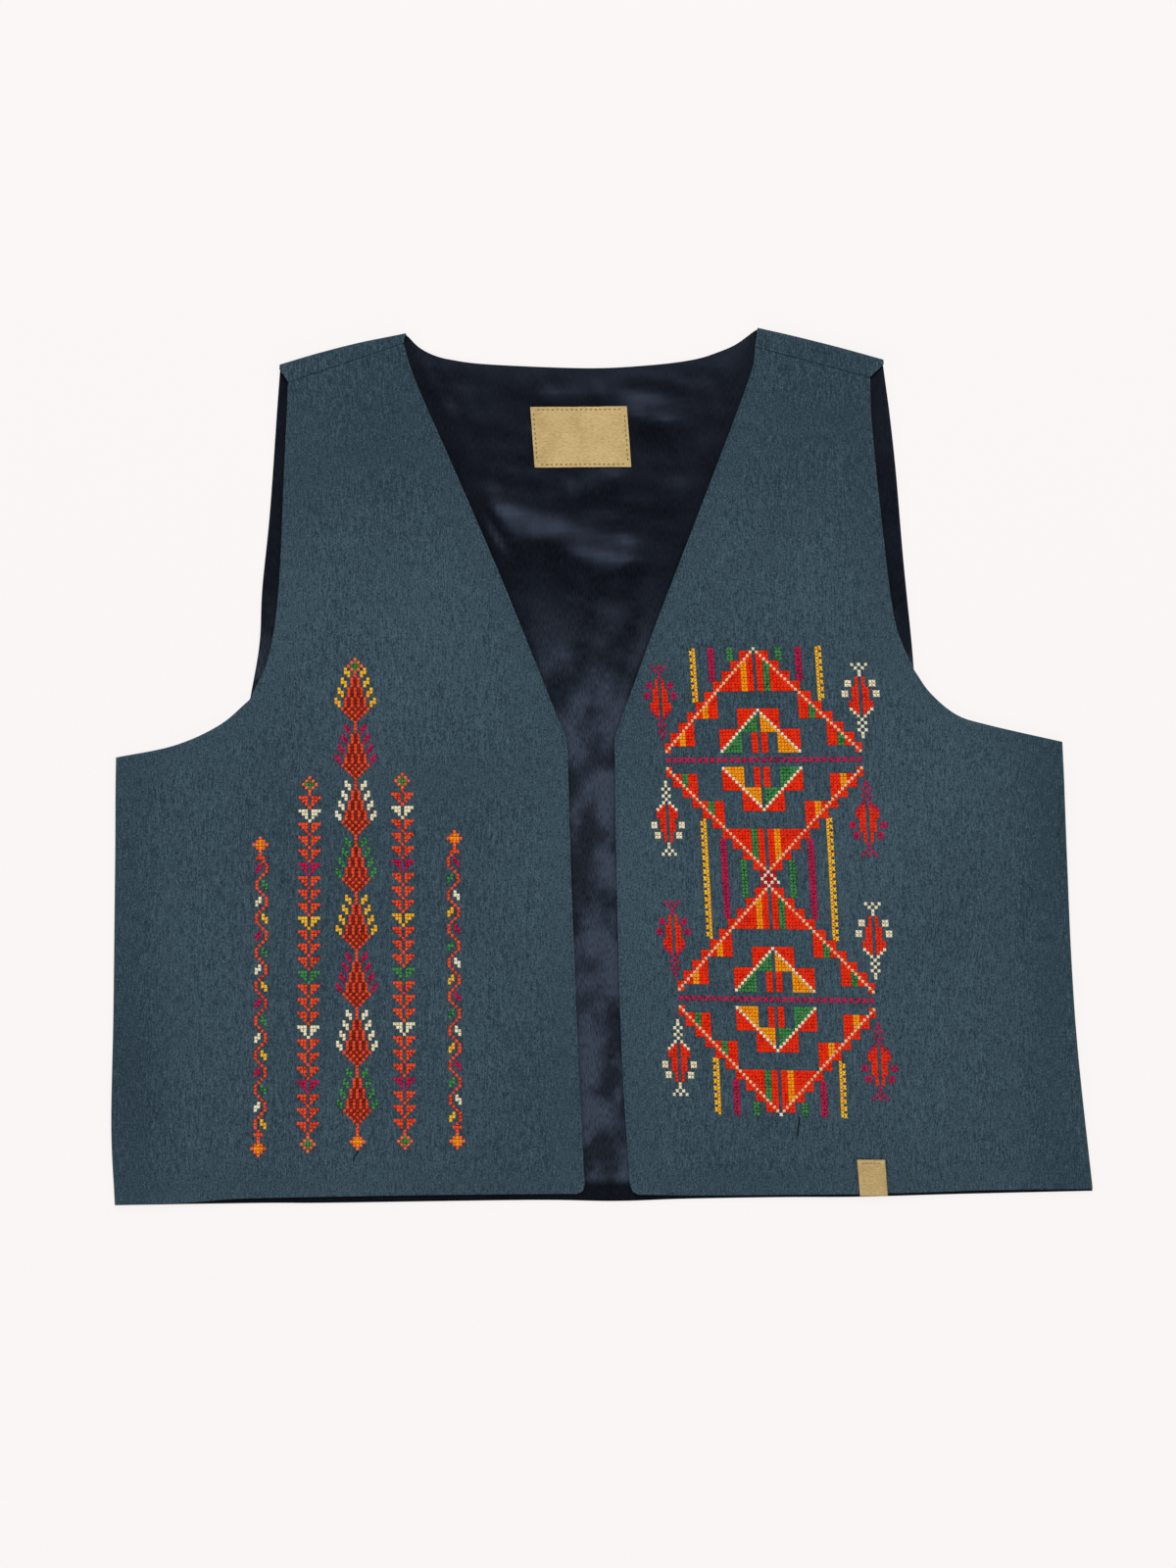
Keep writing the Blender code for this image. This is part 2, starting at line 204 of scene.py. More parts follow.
chambray = {
    "dark": (24, 40, 50), "middle": (43, 62, 73), "light": (76, 98, 110), "weave": 0.00042,
    # painted shade: the cloth is darker towards both side edges and towards the top
    "sidesPaintedShade": 0.03, "topPaintedShade": 0.02,
    "sideShadeBands": ((-0.232, -0.266), (0.226, 0.262)), "topShadeBand": (0.08, 0.17),
}
satin = {
    "dark": (4, 4, 8), "light": (59, 67, 81), "shine": (0.46, 0.58, 0.88, 1.0), "weave": 0.0004,
    # where the strip's painted sheen fades in below the neck and fades out above the hem
    "paintedSheenBelow": (0.115, 0.0), "paintedSheenAbove": (-0.238, -0.232),
}
tape = {"dark": (165, 138, 86), "light": (208, 183, 131), "weave": 0.0007}


def makeChambray():
    made, tree, shader = startMaterial(
        "tealChambray", roughness=0.9, sheen=0.05, sheenTint=paint(150, 170, 185), specular=0.2
    )
    warp = stretchedNoise(tree, (2700, 800, 400), detail=1)
    slub = stretchedNoise(tree, (2100, 170, 400), detail=1)
    weft = stretchedNoise(tree, (900, 2700, 400), detail=1)
    cloud = stretchedNoise(tree, (9, 7, 9), detail=1)
    acrossLines = threadLines(tree, "X", chambray["weave"], 0.8)
    alongLines = threadLines(tree, "Y", chambray["weave"], 0.8)
    plainWeave = combine(tree, "MULTIPLY", acrossLines, alongLines)
    rightSide, leftSide = (rampAlong(tree, "X", *band) for band in chambray["sideShadeBands"])
    sides, top = combine(tree, "ADD", rightSide, leftSide), rampAlong(tree, "Y", *chambray["topShadeBand"])
    # the weave's mottle, less the painted shade at the sides and at the top
    mottle = weighted(tree, [
        (warp, 0.42), (slub, 0.24), (weft, 0.22), (cloud, 0.08), (plainWeave, 0.12),
        (sides, -chambray["sidesPaintedShade"]), (top, -chambray["topPaintedShade"]),
    ])
    stops = [(0.39, chambray["dark"]), (0.495, chambray["middle"]), (0.6, chambray["light"])]
    tree.links.new(colourRamp(tree, mottle, stops), shader.inputs["Base Color"])
    soft = addBump(tree, shader, plainWeave, height=0.00015, strength=0.7)
    addBump(tree, shader, warp, height=0.00022, strength=0.5, before=soft)
    return made


def makeSatin():
    # painted sheen: the strip between the fronts is paler in cloudy patches, as if catching the light; the
    # painted sheen stops just above the hem, so it is dark again where it turns in at the hem
    made, tree, shader = startMaterial("navySatin", roughness=0.3, specular=0.205)
    shader.inputs["Specular Tint"].default_value = satin["shine"]
    grain = stretchedNoise(tree, (1500, 300, 300), detail=1)
    cloud = sharpened(tree, stretchedNoise(tree, (44, 34, 30), detail=2), 0.36, 0.62)
    belowNeck, aboveHem = (rampAlong(tree, "Y", *satin[end]) for end in ("paintedSheenBelow", "paintedSheenAbove"))
    sheenArea = combine(tree, "MULTIPLY", belowNeck, aboveHem)
    sheenPatches = combine(tree, "ADD", combine(tree, "MULTIPLY", cloud, 0.66), 0.2)
    paintedSheen = combine(tree, "MULTIPLY", sheenArea, sheenPatches)
    mottle = weighted(tree, [(grain, 0.2), (cloud, 0.03), (combine(tree, "MULTIPLY", paintedSheen, grain), 1.62)])
    stops = [(0.05, satin["dark"]), (0.9, satin["light"])]
    tree.links.new(colourRamp(tree, mottle, stops), shader.inputs["Base Color"])
    weave = threadLines(tree, "X", satin["weave"], 0.5)
    soft = addBump(tree, shader, weave, height=0.000006, strength=0.4)
    addBump(tree, shader, grain, height=0.000025, strength=0.5, before=soft)
    return made


def makeTape():
    made, tree, shader = startMaterial(
        "cottonTape", roughness=0.9, sheen=0.05, sheenTint=paint(230, 215, 180), specular=0.2
    )
    rib = threadLines(tree, "Y", tape["weave"], 0.8)
    grain = stretchedNoise(tree, (500, 1400, 500), detail=2)
    cloud = stretchedNoise(tree, (60, 60, 60), detail=2)
    mottle = weighted(tree, [(rib, 0.12), (grain, 0.5), (cloud, 0.38)])
    stops = [(0.32, tape["dark"]), (0.66, tape["light"])]
    tree.links.new(colourRamp(tree, mottle, stops), shader.inputs["Base Color"])
    soft = addBump(tree, shader, rib, height=0.00015, strength=0.6)
    addBump(tree, shader, grain, height=0.0001, strength=0.5, before=soft)
    return made


# each thread: its shaded and its lit colour
threadColours = {
    "red": ((204, 8, 0), (255, 54, 10)),
    "crimson": ((150, 2, 16), (206, 26, 40)),
    "coral": ((178, 26, 8), (250, 88, 46)),
    # shadowRed is painted shade: a dark red thread that stands in for shadowed cloth
    "shadowRed": ((84, 18, 12), (146, 44, 28)),
    "salmon": ((220, 54, 14), (255, 118, 70)),
    "peach": ((234, 138, 84), (255, 204, 160)),
    "orange": ((244, 112, 0), (255, 172, 16)),
    "gold": ((240, 148, 0), (255, 202, 56)),
    "white": ((222, 206, 158), (255, 246, 216)),
    "green": ((18, 80, 34), (76, 148, 82)),
    "magenta": ((120, 4, 40), (200, 32, 84)),
    "navy": ((10, 14, 22), (26, 34, 46)),
    "brown": ((96, 64, 30), (140, 102, 56)),
}


def makeThread(colour):
    made, tree, shader = startMaterial(colour + "Thread", roughness=0.65, specular=0.04)
    shade = tree.nodes.new("ShaderNodeAttribute")
    shade.attribute_name = "strandShade"
    ply = stretchedNoise(tree, (2600, 2600, 2600), detail=1)
    mixed = weighted(tree, [(shade.outputs["Fac"], 0.8), (ply, 0.2)])
    dark, light = threadColours[colour]
    # ramp from a near-black painted shadow, through the thread's shaded colour, to its lit colour
    stops = [(0.1, tuple(value * 0.2 for value in dark)), (0.38, dark), (0.7, light)]
    tree.links.new(colourRamp(tree, mixed, stops), shader.inputs["Base Color"])
    addBump(tree, shader, ply, height=0.0001, strength=0.6)
    return made


def makeFloor():
    # a light table: most of its brightness is its own, so the vest throws hardly any shadow on it
    made, tree, shader = startMaterial("paleFloor", roughness=0.9, specular=0.0)
    glow, colour = studio["floorGlow"], paint(*studio["floorColour"])
    shader.inputs["Base Color"].default_value = tuple(value * (1 - glow) for value in colour[:3]) + (1.0,)
    shader.inputs["Emission Color"].default_value = colour
    shader.inputs["Emission Strength"].default_value = glow
    return made


finishes = {"cloth": makeChambray(), "satin": makeSatin(), "tape": makeTape(), "floor": makeFloor()}
threads = {colour: makeThread(colour) for colour in threadColours}
threadNames = list(threads)

bpy.ops.mesh.primitive_plane_add(size=12, location=(0, 0, -0.0005))
floor = bpy.context.object
floor.name = "studioFloor"
floor.data.materials.append(finishes["floor"])
print("materials are made")


# forms shared by the cloth pieces

layers = {
    "clothWall": 1.4, "liningWall": 1.0, "tapeWall": 1.0, "gap": 0.3, "foldRadius": 3.0,
    "liningBottom": 1.7, "liningTop": 2.7, "edgeTop": 4.6, "frontTop": 6.0,
    "sideRoll": 4.0, "sideSeamBottom": 2.2,
}
settle = {"edge": 26, "seam": 34, "fine": 12}  # how far from an edge a front reaches its full height
waves = {"front": (5, 34, 0.1), "lining": (8, 13, 0.15), "label": (11, 20, 0.08)}  # seed, length, height
gridRows = {"side": 48, "scoop": 28, "armhole": 52}  # rows of cloth along each stretch of the outer edge

frontCuts = {
    "right": {
        "side": [(-275.6, -248.3), (-277.6, -204.0), (-276.4, -140.0), (-275.5, -62.0), (-274.6, 5.0)],
        "scoop": [(-274.6, 5.0), (-241.6, 11.8), (-216.1, 23.3), (-199.0, 37.7)],
        "frontArmhole": [(-199.0, 37.7), (-188.2, 62.0), (-182.4, 101.0), (-179.6, 163.0), (-177.0, 217.6)],
        "backArmhole": [(-199.0, 37.7), (-193.6, 69.4), (-192.0, 101.0), (-187.4, 147.6), (-181.9, 227.8)],
        "seam": [(-177.0, 217.6), (-111.6, 239.7)],
        "hem": [
            (-275.6, -248.3), (-236.5, -247.4), (-210.8, -245.2), (-181.0, -244.3), (-100.0, -242.9),
            (-8.8, -242.1),
        ],
        "frontEdge": [(-8.8, -242.1), (-12.7, -165.0), (-16.7, -62.0), (-18.5, 0.0), (-18.9, 13.9)],
        "neckEdge": [(-18.9, 13.9), (-54.0, 101.0), (-80.9, 163.7), (-104.8, 218.1), (-111.6, 239.7)],
    },
    "left": {
        "side": [(279.0, -239.4), (271.0, -165.4), (267.0, -109.9), (264.0, -40.5), (261.5, 13.9)],
        "scoop": [(261.5, 13.9), (219.0, 23.6), (201.3, 29.4), (186.7, 41.6), (177.7, 54.4)],
        "frontArmhole": [(177.7, 54.4), (167.1, 80.5), (160.6, 126.2), (153.8, 191.5), (152.4, 220.3)],
        "backArmhole": [(177.7, 54.4), (176.2, 72.4), (171.6, 118.2), (166.7, 174.9), (160.2, 230.6)],
        "seam": [(152.4, 220.3), (87.3, 237.7)],
        "hem": [
            (279.0, -239.4), (220.6, -240.0), (185.5, -241.2), (145.9, -242.3), (60.0, -243.0),
            (17.0, -242.6),
        ],
        "frontEdge": [(17.0, -242.6), (12.0, -165.4), (9.0, -62.0), (8.1, 0.0), (7.5, 15.0)],
        "neckEdge": [(7.5, 15.0), (31.2, 80.5), (48.9, 126.5), (83.5, 218.1), (87.3, 237.7)],
    },
}

# folds and creases: the points that each runs through, its height (a trough is negative) and half its width
frontFolds = [
    ((-262, -20), (-263, -235), -0.9, 11), ((-244, -30), (-246, -190), 0.9, 15),
    ((-150, 170), (-104, 186), -1.0, 13), ((-128, 120), (-70, 60), 1.0, 22),
    ((-214, 14), (-170, -14), 1.1, 13), ((-150, -10), (-30, -6), -0.8, 12),
    ((-215, -150), (-60, -196), 0.9, 24), ((246, -10), (252, -225), -1.0, 11),
    ((226, -20), (232, -200), 0.9, 15), ((236, -196), (264, -232), 1.2, 11),
    ((92, 196), (146, 190), -1.0, 13), ((66, 90), (120, 150), 1.0, 22),
    ((20, -8), (60, -14), -0.7, 12), ((180, 34), (214, -8), 1.0, 14), ((60, -206), (200, -212), 0.8, 20),
]
frontCreases = [
    ((-135, 195), (-96, 184), -0.5, 4.5), ((-168, 196), (-140, 201), -0.4, 5.0),
    ((-160, 150), (-128, 141), 0.4, 6.0), ((-42, -13), (-20, -11), -0.45, 4.0),
    ((-110, -14), (-70, -10), -0.3, 5.0), ((-204, 19), (-191, 4), -0.6, 4.0),
    ((-222, 6), (-205, -12), 0.5, 6.0), ((-252, -90), (-256, -176), 0.45, 6.0),
    ((-268, -120), (-267, -214), -0.4, 4.0), ((-196, -232), (-150, -228), 0.4, 6.0),
    ((-60, -228), (-24, -232), 0.35, 6.0), ((-84, 20), (-48, 10), 0.3, 7.0),
    ((90, 193), (118, 197), -0.5, 4.5), ((122, 197), (146, 190), -0.4, 5.0),
    ((116, 160), (146, 168), 0.4, 6.0), ((12, -13), (36, -11), -0.45, 4.0),
    ((190, 26), (206, 8), -0.5, 4.5), ((245, -217), (259, -235), -0.7, 4.0),
    ((240, -70), (244, -150), 0.45, 6.0), ((256, -96), (262, -190), -0.4, 4.5),
    ((30, -222), (66, -228), 0.35, 7.0), ((168, -226), (214, -222), 0.4, 6.0),
    ((214, -60), (222, -110), 0.35, 8.0),
]
# in the lining a fold rises gently on its upper side and drops sharply below: half widths above and below
liningFolds = [
    ((-64, 134), (-57, 130), (-47, 126), (-27, 125), (-14, 115), (-3, 108), (7, 109), 3.0, (16, 8)),
    ((-56, 80), (-44, 82), (-30, 78), 0.9, (9, 5)), ((-12, 88), (12, 80), 1.2, (10, 6)),
    ((-40, 60), (-22, 52), 1.2, (9, 4)), ((-24, 36), (-8, 30), 1.0, (9, 4)),
    ((18, 110), (30, 92), 0.7, (8, 5)), ((-34, 207), (-2, 208), 0.5, (7, 4)),
    ((14, 197), (34, 193), 1.3, (11, 6)), ((-16, 152), (6, 160), 1.1, (10, 6)),
    ((-96, 198), (-70, 194), 0.5, (10, 6)), ((34, 154), (52, 148), 0.6, (10, 6)),
    ((-6, 62), (10, 56), 0.9, (8, 5)),
]
liningCreases = [
    ((-15, 17), (4, 13), 0.6, 6), ((-15, -8), (6, -13), 0.8, 6), ((-16, -30), (6, -36), 0.6, 5),
    ((-14, -46), (4, -42), 0.4, 5), ((-13, -92), (8, -100), 0.5, 6),
    ((-12, -118), (6, -112), 0.4, 5), ((-10, -150), (10, -158), 0.4, 6), ((-8, -190), (12, -184), 0.4, 7),
    ((-8, -222), (12, -226), 0.4, 6), ((-20, 60), (-8, 30), 0.5, 6), ((2, 44), (-2, 14), 0.4, 5),
    ((-44, 84), (-30, 60), 0.4, 7), ((24, 96), (14, 66), 0.4, 7), ((-90, 190), (-76, 160), 0.3, 8),
]


def ease(value):
    value = np.clip(value, 0.0, 1.0)
    return value * value * (3 - 2 * value)


def mix(start, end, share):
    return start + (end - start) * share


def smoothPath(points, steps):
    # evenly spaced points along a smooth curve through the given ones
    knots = np.array(points, float)
    knots = np.vstack([2 * knots[0] - knots[1], knots, 2 * knots[-1] - knots[-2]])
    t = np.linspace(0, 1, 16, endpoint=False)[:, None]
    fine = []
    for before, start, end, after in zip(knots, knots[1:], knots[2:], knots[3:]):
        bend = (2 * before - 5 * start + 4 * end - after) * t ** 2
        twist = (3 * start - before - 3 * end + after) * t ** 3
        fine.append(0.5 * (2 * start + (end - before) * t + bend + twist))
    fine = np.vstack(fine + [knots[-2:-1]])
    along = np.concatenate([[0], np.cumsum(np.hypot(*np.diff(fine, axis=0).T))])
    wanted = np.linspace(0, along[-1], steps + 1)
    return np.column_stack([np.interp(wanted, along, fine[:, k]) for k in (0, 1)])


def distanceTo(path, spots):
    nearest = np.full(len(spots), 1e9)
    for a, b in zip(path, path[1:]):
        run = b - a
        share = np.clip(((spots - a) @ run) / (run @ run), 0, 1)
        nearest = np.minimum(nearest, np.hypot(*(spots - a - share[:, None] * run).T))
    return nearest


def ridges(folds, spots):
    total = np.zeros(len(spots))
    for *path, height, halfWidth in folds:
        away = distanceTo(np.array(path, float), spots) / halfWidth
        total += height * np.exp(-away ** 2)
    return total


def steepRidges(folds, spots):
    # ridges with one half width to the left of their path and another to its right
    total = np.zeros(len(spots))
    for *path, height, (leftWidth, rightWidth) in folds:
        path = np.array(path, float)
        nearest, onLeft = np.full(len(spots), 1e9), np.zeros(len(spots), bool)
        for a, b in zip(path, path[1:]):
            run, out = b - a, spots - a
            away = distanceTo(np.array([a, b]), spots)
            closer = away < nearest
            nearest = np.where(closer, away, nearest)
            onLeft = np.where(closer, run[0] * out[:, 1] - run[1] * out[:, 0] > 0, onLeft)
        total += height * np.exp(-(nearest / np.where(onLeft, leftWidth, rightWidth)) ** 2)
    return total


def unevenness(spots, seed, length, height):
    # a few soft waves that cross, so that no stretch of cloth is dead flat
    draw = np.random.default_rng(seed)
    total = np.zeros(len(spots))
    for wave in range(9):
        angle = draw.uniform(0, math.pi)
        pace = 2 * math.pi / (length * draw.uniform(0.6, 1.8))
        ahead = spots @ np.array([math.cos(angle), math.sin(angle)])
        total += np.sin(ahead * pace + draw.uniform(0, 6.28))
    return height * total / 3


def frontPathsOf(half):
    cut = frontCuts[half]
    hem = smoothPath(cut["hem"], 60)
    return {
        "inner": np.vstack([smoothPath(cut["frontEdge"], 40), smoothPath(cut["neckEdge"], 60)[1:]]),
        "armhole": np.vstack([smoothPath(cut["scoop"], 32), smoothPath(cut["frontArmhole"], 32)[1:]]),
        "hem": hem[np.argsort(hem[:, 0])],
        "seam": np.array(cut["seam"]),
    }


frontPaths = {half: frontPathsOf(half) for half in frontCuts}


def outerEdge(half, armhole):
    cut = frontCuts[half]
    parts = [smoothPath(cut["side"], gridRows["side"])]
    parts.append(smoothPath(cut["scoop"], gridRows["scoop"])[1:])
    parts.append(smoothPath(cut[armhole], gridRows["armhole"])[1:])
    return np.vstack(parts)


def bendTo(path, start, end, spots, reach):
    # how far each point moves so that a grid's straight end row takes the path's shape
    share = (spots[:, 0] - start[0]) / (end[0] - start[0])
    line = mix(start[1], end[1], share)
    nearness = np.maximum(1 - np.abs(spots[:, 1] - line) / reach, 0) ** 2
    return (np.interp(spots[:, 0], path[:, 0], path[:, 1]) - line) * nearness


def frontTop(half, spots):
    # height of a front's upper side at each point
    paths = frontPaths[half]
    fromEdge = np.minimum.reduce([distanceTo(paths[name], spots) for name in ("inner", "armhole", "hem")])
    lifted = layers["frontTop"] + ridges(frontFolds, spots)
    free = mix(layers["edgeTop"], lifted, ease(fromEdge / settle["edge"]))
    height = mix(layers["frontTop"], free, ease(distanceTo(paths["seam"], spots) / settle["seam"]))
    fine = ridges(frontCreases, spots) + unevenness(spots, *waves["front"])
    return height + fine * ease(fromEdge / settle["fine"])


def modifierApply(piece, name, kind, **settings):
    added = piece.modifiers.new(name, kind)
    for key, value in settings.items():
        setattr(added, key, value)
    bpy.context.view_layer.objects.active = piece
    bpy.ops.object.modifier_apply(modifier=added.name)


def layCloth(name, columns, rows, place, outward, wall, finish, under=None, drop=None, rim=0.45):
    # a grid laid point by point on its form, given its wall on one side and a rounded rim
    bpy.ops.object.select_all(action="DESELECT")
    bpy.ops.mesh.primitive_grid_add(x_subdivisions=columns, y_subdivisions=rows, size=1)
    piece = bpy.context.object
    piece.name = piece.data.name = name
    mesh = piece.data
    flat = np.empty(len(mesh.vertices) * 3)
    mesh.vertices.foreach_get("co", flat)
    flat = flat.reshape(-1, 3)
    column = np.rint((flat[:, 0] + 0.5) * columns).astype(int)
    row = np.rint((flat[:, 1] + 0.5) * rows).astype(int)
    mesh.vertices.foreach_set("co", (place(column, row) * mm).ravel())
    if drop is not None:
        bpy.ops.object.mode_set(mode="EDIT")
        bpy.ops.mesh.select_all(action="DESELECT")
        bpy.ops.object.mode_set(mode="OBJECT")
        chosen = [drop(i % columns, i // columns) for i in range(len(mesh.polygons))]
        mesh.polygons.foreach_set("select", chosen)
        bpy.ops.object.mode_set(mode="EDIT")
        bpy.ops.mesh.select_mode(type="FACE")
        bpy.ops.mesh.delete(type="FACE")
        bpy.ops.object.mode_set(mode="OBJECT")
    mesh.materials.append(finish)
    mesh.materials.append(under or finish)
    modifierApply(
        piece, "wall", "SOLIDIFY", thickness=wall * mm, offset=outward, use_even_offset=True,
        material_offset=1 if under else 0,
    )
    modifierApply(
        piece, "rim", "BEVEL", width=rim * mm, segments=3, limit_method="ANGLE", angle_limit=math.radians(50),
        use_clamp_overlap=True,
    )
    bpy.ops.object.shade_smooth()
    # the narrow rim doesn't tilt the shading of the wide faces beside it
    modifierApply(piece, "shading", "WEIGHTED_NORMAL", mode="FACE_AREA", weight=50)
    return piece


def declareSheet(piece, node, slot, width, length, restsOn=(), withPieces=()):
    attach(piece, "root")
    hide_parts(node)


# the two fronts

frontGrid = {"columns": 56, "rollSteps": 6, "rollFade": 12, "hemReach": 60.0, "cornerRadius": 4.5}
frontCloths = {
    "right": {"name": "frontRightCloth", "node": "front_right", "cut": (270.0, 490.0)},
    "left": {"name": "frontLeftCloth", "node": "front_left", "cut": (274.0, 483.0)},
}


def makeFront(half):
    outer = outerEdge(half, "frontArmhole")
    inner = frontPaths[half]["inner"]
    rolled = frontGrid["rollSteps"]
    columns = rolled + frontGrid["columns"]
    low, high = outer[0, 1], outer[-1, 1]

    def place(column, row):
        if half == "left":
            column = columns - column
        out = outer[row]
        y = mix(inner[0, 1], inner[-1, 1], (out[:, 1] - low) / (high - low))
        into = np.column_stack([np.interp(y, inner[:, 1], inner[:, 0]), y])
        width = np.hypot(*(into - out).T)
        angle = (math.pi / 2) * (1 - np.minimum(column, rolled) / rolled)
        onRoll = layers["sideRoll"] * (1 - np.sin(angle))
        beyond = mix(layers["sideRoll"], width, (column - rolled) / frontGrid["columns"])
        fromSide = np.where(column < rolled, onRoll, beyond)
        spots = out + (into - out) * (fromSide / width)[:, None]
        spots[:, 1] += bendTo(frontPaths[half]["hem"], outer[0], inner[0], spots, frontGrid["hemReach"])
        corner, radius = inner[0], frontGrid["cornerRadius"]
        towards = np.array([-1.0 if half == "right" else 1.0, 1.0])
        within = radius - (spots - corner) * towards
        inCorner = (within > 0).all(axis=1)
        rounder = within.max(axis=1) / np.maximum(np.hypot(*within.T), 1e-6)
        spots[inCorner] = (corner + (radius - within * rounder[:, None]) * towards)[inCorner]
        top = frontTop(half, spots)
        roll = ease((gridRows["side"] - row) / frontGrid["rollFade"])
        z = mix(top, mix(layers["sideSeamBottom"], top, np.cos(angle)), roll)
        spots[row == len(outer) - 1, 1] -= layers["gap"]
        return np.column_stack([spots, z])

    about = frontCloths[half]
    return layCloth(
        about["name"], columns, len(outer) - 1, place, -1, layers["clothWall"], finishes["cloth"],
        finishes["satin"],
    )


fronts = {half: makeFront(half) for half in frontCloths}
print("fronts are laid")


# the back, with its strips turned over at the shoulders

backCut = {
    "neckEnds": (-110.4, 88.9),
    "shoulders": (
        [(-181.9, 227.8), (-160.4, 234.2), (-136.0, 240.4), (-110.4, 245.4)],
        [(88.9, 248.5), (107.7, 244.4), (134.9, 237.6), (160.2, 230.6)],
    ),
    "neck": [
        (-110.4, 245.4), (-103.9, 238.4), (-96.0, 233.8), (-85.5, 230.8), (-62.7, 228.0), (-7.2, 225.9),
        (28.9, 227.7), (53.3, 230.9), (67.7, 235.4), (76.3, 239.2), (82.8, 243.7), (88.9, 248.5),
    ],
    "hem": [
        (-275.6, -249.0), (-193.0, -247.7), (-154.0, -247.6), (-40.0, -246.0), (8.0, -246.6), (48.0, -245.3),
        (104.0, -244.4), (146.0, -244.2), (203.0, -242.6), (279.0, -240.8),
    ],
    "shoulderColumns": 20, "neckColumns": 68, "wrapSteps": 12, "stripSteps": 4, "cut": (556.0, 506.0),
    "topReach": 110.0, "hemReach": 60.0, "drawnInRows": 8, "bulgeAtNeck": 0.12, "bulgeColumns": 5,
}
liningCut = {
    "side": 2.6, "scoop": 2.2, "armhole": 1.0, "neck": 1.0, "fold": 4.0, "hem": 1.6, "cut": (550.0, 492.0),
    "topRows": 40, "hemRows": 12,
}
# how far from an edge the lining's folds begin, and over what length they grow to their full height
liningRoom = {"broad": (2, 11), "small": (1, 8), "smallLift": 0.3}
shoulderRight, shoulderLeft = (smoothPath(points, 60) for points in backCut["shoulders"])
neckline = smoothPath(backCut["neck"], 200)
backPaths = {
    "top": np.vstack([shoulderRight, neckline[1:], shoulderLeft[1:]]), "hem": smoothPath(backCut["hem"], 120),
}


def backShare(column):
    right, left = backPaths["top"][0][0], backPaths["top"][-1][0]
    start, end = ((x - right) / (left - right) for x in backCut["neckEnds"])
    side, neck = backCut["shoulderColumns"], backCut["neckColumns"]
    even = np.clip((column - side) / neck, 0, 1)
    between = mix(start, end, mix(even, 0.5 - 0.5 * np.cos(math.pi * even), 0.5))
    beyond = mix(end, 1.0, (column - side - neck) / side)
    return np.where(column <= side, start * column / side, np.where(column <= side + neck, between, beyond))


def backSpots(column, row, right, left):
    spots = right[row] + (left[row] - right[row]) * backShare(column)[:, None]
    rise = bendTo(backPaths["top"], right[-1], left[-1], spots, backCut["topReach"])
    drop = bendTo(backPaths["hem"], right[0], left[0], spots, backCut["hemReach"])
    spots[:, 1] += rise + drop
    return spots


def shoulderness(column):
    # 1 on the shoulders and 0 round the neck, over two columns
    side, neck = backCut["shoulderColumns"], backCut["neckColumns"]
    inside = np.minimum(column - side, side + neck - column)
    return np.clip(1 - inside / 2, 0, 1)


def foldDepth(column):
    # how far the shoulder fold bulges: less beside the neck, where it runs into the neckline
    side, neck = backCut["shoulderColumns"], backCut["neckColumns"]
    fromNeck = np.maximum(side - column, column - side - neck)
    share = ease(fromNeck / backCut["bulgeColumns"])
    return mix(backCut["bulgeAtNeck"], 1.0, share) * layers["foldRadius"]


def liningRise(spots):
    # the lining's folds keep clear of the fronts' edges and of the neckline
    rightEdge, leftEdge, top = frontPaths["right"]["inner"], frontPaths["left"]["inner"], backPaths["top"]
    fromRight = spots[:, 0] - np.interp(spots[:, 1], rightEdge[:, 1], rightEdge[:, 0])
    fromLeft = np.interp(spots[:, 1], leftEdge[:, 1], leftEdge[:, 0]) - spots[:, 0]
    fromNeck = np.interp(spots[:, 0], top[:, 0], top[:, 1]) - spots[:, 1]
    room = np.minimum.reduce([fromRight, fromLeft, fromNeck])
    broad, small = (ease((room - liningRoom[kind][0]) / liningRoom[kind][1]) for kind in ("broad", "small"))
    fine = ridges(liningCreases, spots) + unevenness(spots, *waves["lining"]) + liningRoom["smallLift"]
    return broad * steepRidges(liningFolds, spots) + np.maximum(small * fine, 0)


def makeBack():
    right, left = outerEdge("right", "backArmhole"), outerEdge("left", "backArmhole")
    flatRows = len(right) - 1
    side, neck = backCut["shoulderColumns"], backCut["neckColumns"]
    wrap, strip = backCut["wrapSteps"], backCut["stripSteps"]
    columns = 2 * side + neck
    radius = layers["foldRadius"]
    drawnIn = backCut["drawnInRows"]

    def place(column, row):
        spots = backSpots(column, np.minimum(row, flatRows), right, left)
        depth = foldDepth(column)
        spots[:, 1] -= depth * np.clip((row - flatRows + drawnIn) / drawnIn, 0, 1) * shoulderness(column)
        angle = math.pi * (np.clip((row - flatRows) / wrap, 0, 1) - 0.5)
        onFold = row > flatRows
        spots[:, 1] += np.where(onFold, depth * np.cos(angle), 0)
        z = np.where(onFold, radius * (1 + np.sin(angle)), 0)
        atRight = np.clip(column / side, 0, 1)[:, None]
        atLeft = np.clip((columns - column) / side, 0, 1)[:, None]
        seamRight = mix(*np.array(frontCuts["right"]["seam"])[:, None, :], atRight)
        seamLeft = mix(*np.array(frontCuts["left"]["seam"])[:, None, :], atLeft)
        seam = np.where((column <= side)[:, None], seamRight, seamLeft)
        toSeam = np.clip((row - flatRows - wrap) / strip, 0, 1)[:, None]
        return np.column_stack([mix(spots, seam, toSeam), z])

    def overTheNeck(column, row):
        return row >= flatRows and side <= column < side + neck

    rows = flatRows + wrap + strip
    return layCloth(
        "backCloth", columns, rows, place, 1, layers["clothWall"], finishes["satin"], finishes["cloth"],
        overTheNeck,
    )


